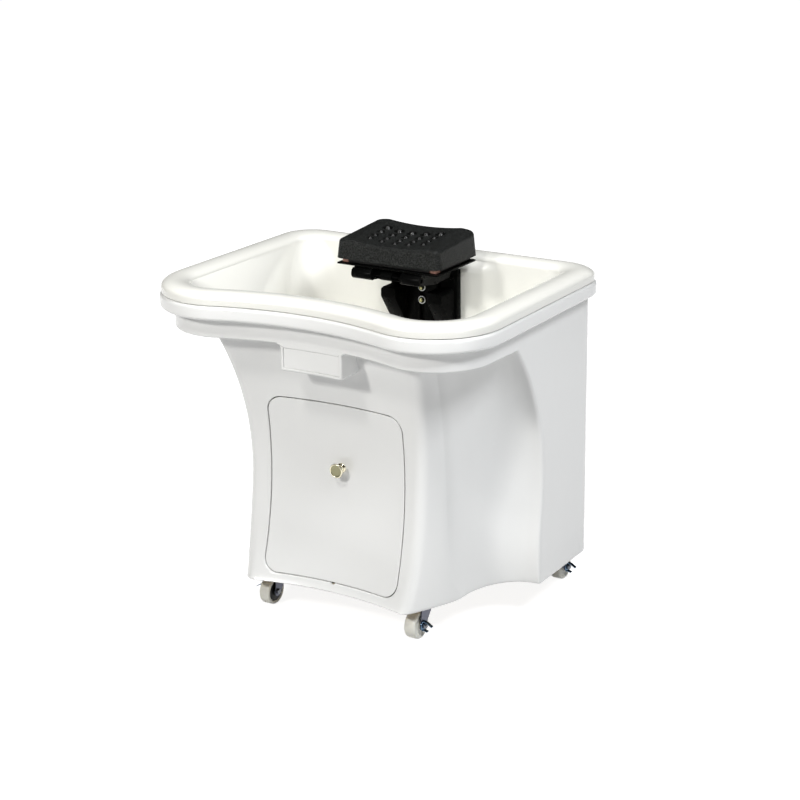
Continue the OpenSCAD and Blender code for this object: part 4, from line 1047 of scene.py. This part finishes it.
softened("rest_bracket", "headrest_bracket", "cabinet", powder, width=0.0012)
arm = softened("rest_arm", "headrest_arm", "headrest", powder, width=0.001)
hinge = (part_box("hinge_pin")[0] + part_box("hinge_pin")[1]) / 2
for v in arm.data.vertices:
    away = Vector((0, v.co.y - hinge.y, v.co.z - hinge.z))
    if KNUCKLE_R[0] < away.length < KNUCKLE_R[1]:
        v.co -= KNUCKLE_SLIM * away
        v.co.x *= KNUCKLE_SHARE
softened("rest_plate", "tilt_plate", "pillow_mount", powder, width=0.0006)
screws = softened("clamp_screws", "clamp_bolts", "cabinet", brass, width=0.0006)
ring_low, ring_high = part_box("clamp_washers")
bolt_heights = (ring_low.z + ring_high.x, ring_high.z - ring_high.x)
for v in screws.data.vertices:
    if v.co.y < ring_low.y:
        middle = min(bolt_heights, key=lambda z: abs(z - v.co.z))
        v.co.x *= HEAD_SHARE
        v.co.z = lerp(middle, v.co.z, HEAD_SHARE)
ring_r = RING_SHARE * ring_high.x
ring_t = ring_high.y - ring_low.y
ring_profile = rounded_profile([
    (RING_HOLE, 0), (ring_r, 0), (ring_r, ring_t), (ring_r - RING_EDGE, ring_t + RING_RISE),
    (ring_r - RING_BRIM, ring_t + RING_RISE), (ring_r - RING_BRIM - RING_SLOPE, RING_HOLLOW * ring_t),
    (RING_HOLE, RING_HOLLOW * ring_t),
], radius=0.0003)
bm = bmesh.new()
for height in bolt_heights:
    before = set(bm.verts)
    turned(bm, ring_profile + ring_profile[:1], steps=48)
    fresh = [v for v in bm.verts if v not in before]
    # The washer's hollow takes the black powder coat: painted shade between washer and bolt
    for face in {face for v in fresh for face in v.link_faces}:
        middle = face.calc_center_median()
        if middle.z > RING_FOOT and middle.xy.length < ring_r - RING_SHADE_INSET:
            face.material_index = 1
    face_front(bm, fresh, ring_high.y, height)
rings = finished("clamp_rings", bm, "cabinet", zinc)
rings.data.materials.append(powder)
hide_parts("clamp_washers")
dressed("hinge_pin", hinge_steel)
dressed("bracket_screws", powder)

# Pillow board
# A plywood board between the steel plate and the pillow, stained reddish.
# It is coloured near black as painted shade under the pillow, but for the two front corners, where the plies
# show.
UNSHADED_FROM_X = 0.085
UNSHADED_DEPTH = 0.013
SHADE_SOFT = 0.002
board_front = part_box("pillow_board")[0].y


def ramped(tree, pattern, start, end, low=0.0, high=1.0):
    """Goes from low to high while a pattern or a place goes from start to end, and stays there beyond."""
    change = tree.nodes.new("ShaderNodeMapRange")
    for socket, value in (("From Min", start), ("From Max", end), ("To Min", low), ("To Max", high)):
        change.inputs[socket].default_value = value
    tree.links.new(pattern, change.inputs["Value"])
    return change.outputs["Result"]


def computed(tree, operation, *values):
    """The result of one operation on other nodes' outputs."""
    maths = tree.nodes.new("ShaderNodeMath")
    maths.operation = operation
    for socket, value in zip(maths.inputs, values):
        tree.links.new(value, socket)
    return maths.outputs["Value"]


stained_and_shaded, tree, shader = new_material("stained_plywood_painted_shade", (0.42, 0.19, 0.14), 0.5)
vary(tree, shader, "Roughness", noise(tree, 90, 4), 0.42, 0.62)
relief(tree, shader, noise(tree, 60, 6, (0.5, 0.5, 20)), 0.0001)
coordinates = tree.nodes.new("ShaderNodeTexCoord")
place = tree.nodes.new("ShaderNodeSeparateXYZ")
tree.links.new(coordinates.outputs["Object"], place.inputs["Vector"])
sideways = computed(tree, "ABSOLUTE", place.outputs["X"])
at_side = ramped(tree, sideways, UNSHADED_FROM_X - SHADE_SOFT, UNSHADED_FROM_X + SHADE_SOFT)
unshaded_to = board_front + UNSHADED_DEPTH
at_front = ramped(tree, place.outputs["Y"], unshaded_to + SHADE_SOFT, unshaded_to - SHADE_SOFT)
unshaded = computed(tree, "MULTIPLY", at_side, at_front)
wood = blend(tree, noise(tree, 30, 5, (0.5, 0.5, 22)), (0.30, 0.12, 0.09), (0.62, 0.34, 0.27))
# Near black stands for painted shade under the pillow; only the two front corners show the reddish plies
tree.links.new(blend(tree, unshaded, (0.006, 0.006, 0.006), wood), shader.inputs["Base Color"])
softened("rest_board", "pillow_board", "pillow_mount", stained_and_shaded, width=0.0006)

# Pillow
# A head rest moulded in black polyurethane foam with its own skin, dished across and higher at the back.
# Its skin has a leather grain; four rows of smoother nubs stand in the dish, each in its own groove; nubs and
# grooves are coloured darker as painted shade.
PILLOW_LOW, PILLOW_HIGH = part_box("pillow")
PILLOW_FRONT_H = 0.0337
PILLOW_BACK_H = PILLOW_HIGH.z - PILLOW_LOW.z
PILLOW_DISH = 0.005
PILLOW_ROLL = 0.0065
PILLOW_CORNER = 0.011
PILLOW_DRAFT = 0.0034
SKIRT_STEPS = 8
NUB_COL = 0.0275
NUB_BOW = 0.0016
GROOVE = 0.5
GROOVE_DEPTH = 0.5
DISH_HALF = 0.72
GRID = 0.0009

# Each row's distance from the front edge, and the radius and height of its nubs
NUB_ROWS = (
    (0.028, 0.0044, 0.0026),
    (0.045, 0.0046, 0.0028),
    (0.065, 0.0052, 0.0032),
    (0.088, 0.0066, 0.0042),
)
pillow_half = Vector((PILLOW_HIGH.x, (PILLOW_HIGH.y - PILLOW_LOW.y) / 2))
pillow_half -= Vector((PILLOW_DRAFT, PILLOW_DRAFT))
pillow_mid = Vector((0, (PILLOW_HIGH.y + PILLOW_LOW.y) / 2))
top_front = pillow_mid.y - pillow_half.y
top_back = pillow_mid.y + pillow_half.y
nubs = [
    (Vector((i * NUB_COL, top_front + row + NUB_BOW * i * i)), radius, height)
    for row, radius, height in NUB_ROWS for i in (-2, -1, 0, 1, 2)
]


def nub_rise(p):
    """Each nub is a low dome in a shallow groove."""
    for place, radius, height in nubs:
        away = (p - place).length / radius
        if away < 1:
            return height * sqrt(1 - away * away)
        if away < 1 + GROOVE:
            return -GROOVE_DEPTH * height * sin(pi * (away - 1) / GROOVE)
    return 0


def pillow_top(p):
    """Height of the top over the underside: it rises to the back and is dished across."""
    along = clamp01((p.y - top_front) / (2 * pillow_half.y))
    across = abs(p.x) / pillow_half.x
    dish = 1 - min(1, across / DISH_HALF) ** 2
    fall = along * clamp01((across - DISH_HALF) / (1 - DISH_HALF)) ** 2
    return lerp(PILLOW_FRONT_H, PILLOW_BACK_H, along) - PILLOW_DISH * (dish + fall)


def grid_lines(low, high, spacing, roll_steps=8):
    """Positions across the pillow: even in the middle, and closing in round each rolled edge."""
    spaces = round((high - low) / spacing)
    inner = [low + PILLOW_ROLL + (high - low - 2 * PILLOW_ROLL) * t for t in parts(spaces, 0)]
    edge_in = [PILLOW_ROLL * (1 - cos(a)) for a in quarter_turn(roll_steps)[:-1]]
    return [low + e for e in edge_in] + inner + [high - e for e in reversed(edge_in)]


def from_corner(x, y):
    """How far a point lies beyond the middle of the rounding of its corner, sideways and lengthways."""
    return Vector((abs(x), abs(y - pillow_mid.y))) - (pillow_half - Vector((PILLOW_CORNER, PILLOW_CORNER)))


def pillow_point(x, y):
    """A point of the top: corners are drawn onto their rounding, and edges roll down."""
    p = Vector((x, y))
    away = from_corner(x, y)
    reach = max(away)
    if min(away) > 0:
        away *= max(away) / away.length
        p = Vector((
            (pillow_half.x - PILLOW_CORNER + away.x) * (1 if x > 0 else -1),
            pillow_mid.y + (pillow_half.y - PILLOW_CORNER + away.y) * (1 if y > pillow_mid.y else -1)
        ))
    border = PILLOW_CORNER - reach
    drop = 0
    if border < PILLOW_ROLL:
        drop = PILLOW_ROLL - sqrt(max(0, PILLOW_ROLL ** 2 - (PILLOW_ROLL - border) ** 2))
    return Vector((p.x, p.y, PILLOW_LOW.z + pillow_top(p) - drop + nub_rise(p)))


columns = grid_lines(-pillow_half.x, pillow_half.x, GRID)
rows = grid_lines(top_front, top_back, GRID)
bm = bmesh.new()
bmesh.ops.create_grid(bm, x_segments=len(columns) - 1, y_segments=len(rows) - 1, size=1)
for v in bm.verts:
    column = round((v.co.x + 1) / 2 * (len(columns) - 1))
    row = round((v.co.y + 1) / 2 * (len(rows) - 1))
    v.co = pillow_point(columns[column], rows[row])
# Nubs and their grooves take the darker, glossier skin: painted shade in the grooves and on the nubs
for face in bm.faces:
    if nub_rise(face.calc_center_median().xy) != 0:
        face.material_index = 1
edges = [e for e in bm.edges if e.is_boundary]
for left in reversed(range(SKIRT_STEPS)):
    fresh, edges = extruded(bm, edges)
    for v in fresh:
        away = from_corner(v.co.x, v.co.y)
        out = Vector((max(0, away.x), max(0, away.y))).normalized() * PILLOW_DRAFT / SKIRT_STEPS
        v.co.x += out.x * (1 if v.co.x > 0 else -1)
        v.co.y += out.y * (1 if v.co.y > pillow_mid.y else -1)
        v.co.z = PILLOW_LOW.z + (v.co.z - PILLOW_LOW.z) * left / (left + 1)
capped(bm)
skin, tree, shader = new_material("moulded_foam_skin", (0.013, 0.0135, 0.013), 0.5)
shader.inputs["Specular IOR Level"].default_value = 0.2
grain = ramped(tree, noise(tree, 420, 3), 0.42, 0.62)
vary(tree, shader, "Base Color", grain, (0.0015, 0.0018, 0.0015), (0.023, 0.025, 0.024))
vary(tree, shader, "Roughness", noise(tree, 420, 5), 0.26, 0.5)
relief(tree, shader, noise(tree, 420, 3), 0.0016)
# A glossier and darker skin; its darkness is painted shade for the nubs and their grooves
nub_painted_shade_skin, tree, shader = new_material("polished_nub_skin_painted_shade", (0.002, 0.002, 0.002), 0.3)
shader.inputs["Specular IOR Level"].default_value = 0.35
vary(tree, shader, "Base Color", noise(tree, 300, 3), (0.0012, 0.0013, 0.0012), (0.003, 0.0032, 0.003))
vary(tree, shader, "Roughness", noise(tree, 300, 3), 0.24, 0.38)
relief(tree, shader, noise(tree, 700, 3), 0.00005)
pillow = finished("moulded_pillow", bm, "pillow_mount", skin, sharp=50)
pillow.data.materials.append(nub_painted_shade_skin)
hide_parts("pillow")

# Floor and light
# A seamless floor, which the camera and reflections see as plain white but for the soft shadow.
# Soft boxes hang overhead and to the right, with a low one beside them to fill the side panels;
# two smaller keys in front throw the shadows of the rim and the label place.
FLOOR_SIZE = 60.0
GLOW_NEAR = 0.87
GLOW_FROM = 0.35
GLOW_TO = 1.1
WORLD_LIGHT = 0.03
WARM = (1.0, 0.99, 0.96)
COOL = (0.96, 0.98, 1.0)
bm = bmesh.new()
bmesh.ops.create_grid(bm, x_segments=1, y_segments=1, size=FLOOR_SIZE / 2)
floor = new_object("studio_floor", bm)
floor_white, tree, shader = new_material("floor_white", (0.45, 0.45, 0.45), 0.9)
floor.data.materials.append(floor_white)
coordinates = tree.nodes.new("ShaderNodeTexCoord")
distance = tree.nodes.new("ShaderNodeVectorMath")
distance.operation = "LENGTH"
tree.links.new(coordinates.outputs["Object"], distance.inputs[0])
glow = ramped(tree, distance.outputs["Value"], GLOW_FROM, GLOW_TO, GLOW_NEAR, 1.0)
plain = tree.nodes.new("ShaderNodeEmission")
tree.links.new(glow, plain.inputs["Strength"])
rays = tree.nodes.new("ShaderNodeLightPath")
camera_or_gloss = computed(tree, "MAXIMUM", rays.outputs["Is Camera Ray"], rays.outputs["Is Glossy Ray"])
lifted = tree.nodes.new("ShaderNodeAddShader")
tree.links.new(shader.outputs["BSDF"], lifted.inputs[0])
tree.links.new(plain.outputs["Emission"], lifted.inputs[1])
seen = tree.nodes.new("ShaderNodeMixShader")
tree.links.new(camera_or_gloss, seen.inputs["Fac"])
tree.links.new(shader.outputs["BSDF"], seen.inputs[1])
tree.links.new(lifted.outputs["Shader"], seen.inputs[2])
tree.links.new(seen.outputs["Shader"], tree.nodes["Material Output"].inputs["Surface"])

world = bpy.data.worlds.new("studio")
world.use_nodes = True
bpy.context.scene.world = world
tree = world.node_tree
background = tree.nodes["Background"]
background.inputs["Color"].default_value = (1, 1, 1, 1)
rays = tree.nodes.new("ShaderNodeLightPath")
strength = blend(tree, rays.outputs["Is Camera Ray"], WORLD_LIGHT, 1.0)
tree.links.new(strength, background.inputs["Strength"])


def softbox(name, place, height, size, power, colour=(1, 1, 1)):
    """An area light of a size in metres, which faces the middle of the object at a height."""
    light = bpy.data.lights.new(name, "AREA")
    light.shape = "RECTANGLE"
    light.size, light.size_y = size
    light.energy = power
    light.color = colour
    lamp = bpy.data.objects.new(name, light)
    lamp.location = place
    aim = Vector((0, 0, height)) - Vector(place)
    lamp.rotation_euler = aim.to_track_quat("-Z", "Y").to_euler()
    bpy.context.collection.objects.link(lamp)


softbox("overhead_softbox", (0.2, 0.1, 3.2), height=0.4, size=(2.4, 2.4), power=46)
softbox("left_key", (-0.6, -2.45, 1.8), height=0.35, size=(0.3, 0.3), power=34, colour=WARM)
softbox("front_key", (0.0, -1.9, 2.7), height=0.35, size=(0.3, 0.3), power=19, colour=WARM)
softbox("right_softbox", (2.1, -0.85, 2.6), height=0.35, size=(0.7, 0.7), power=51, colour=COOL)
softbox("low_softbox", (2.4, -1.0, 0.6), height=0.3, size=(0.8, 0.6), power=5.5, colour=COOL)

bpy.context.scene.view_settings.view_transform = "Standard"
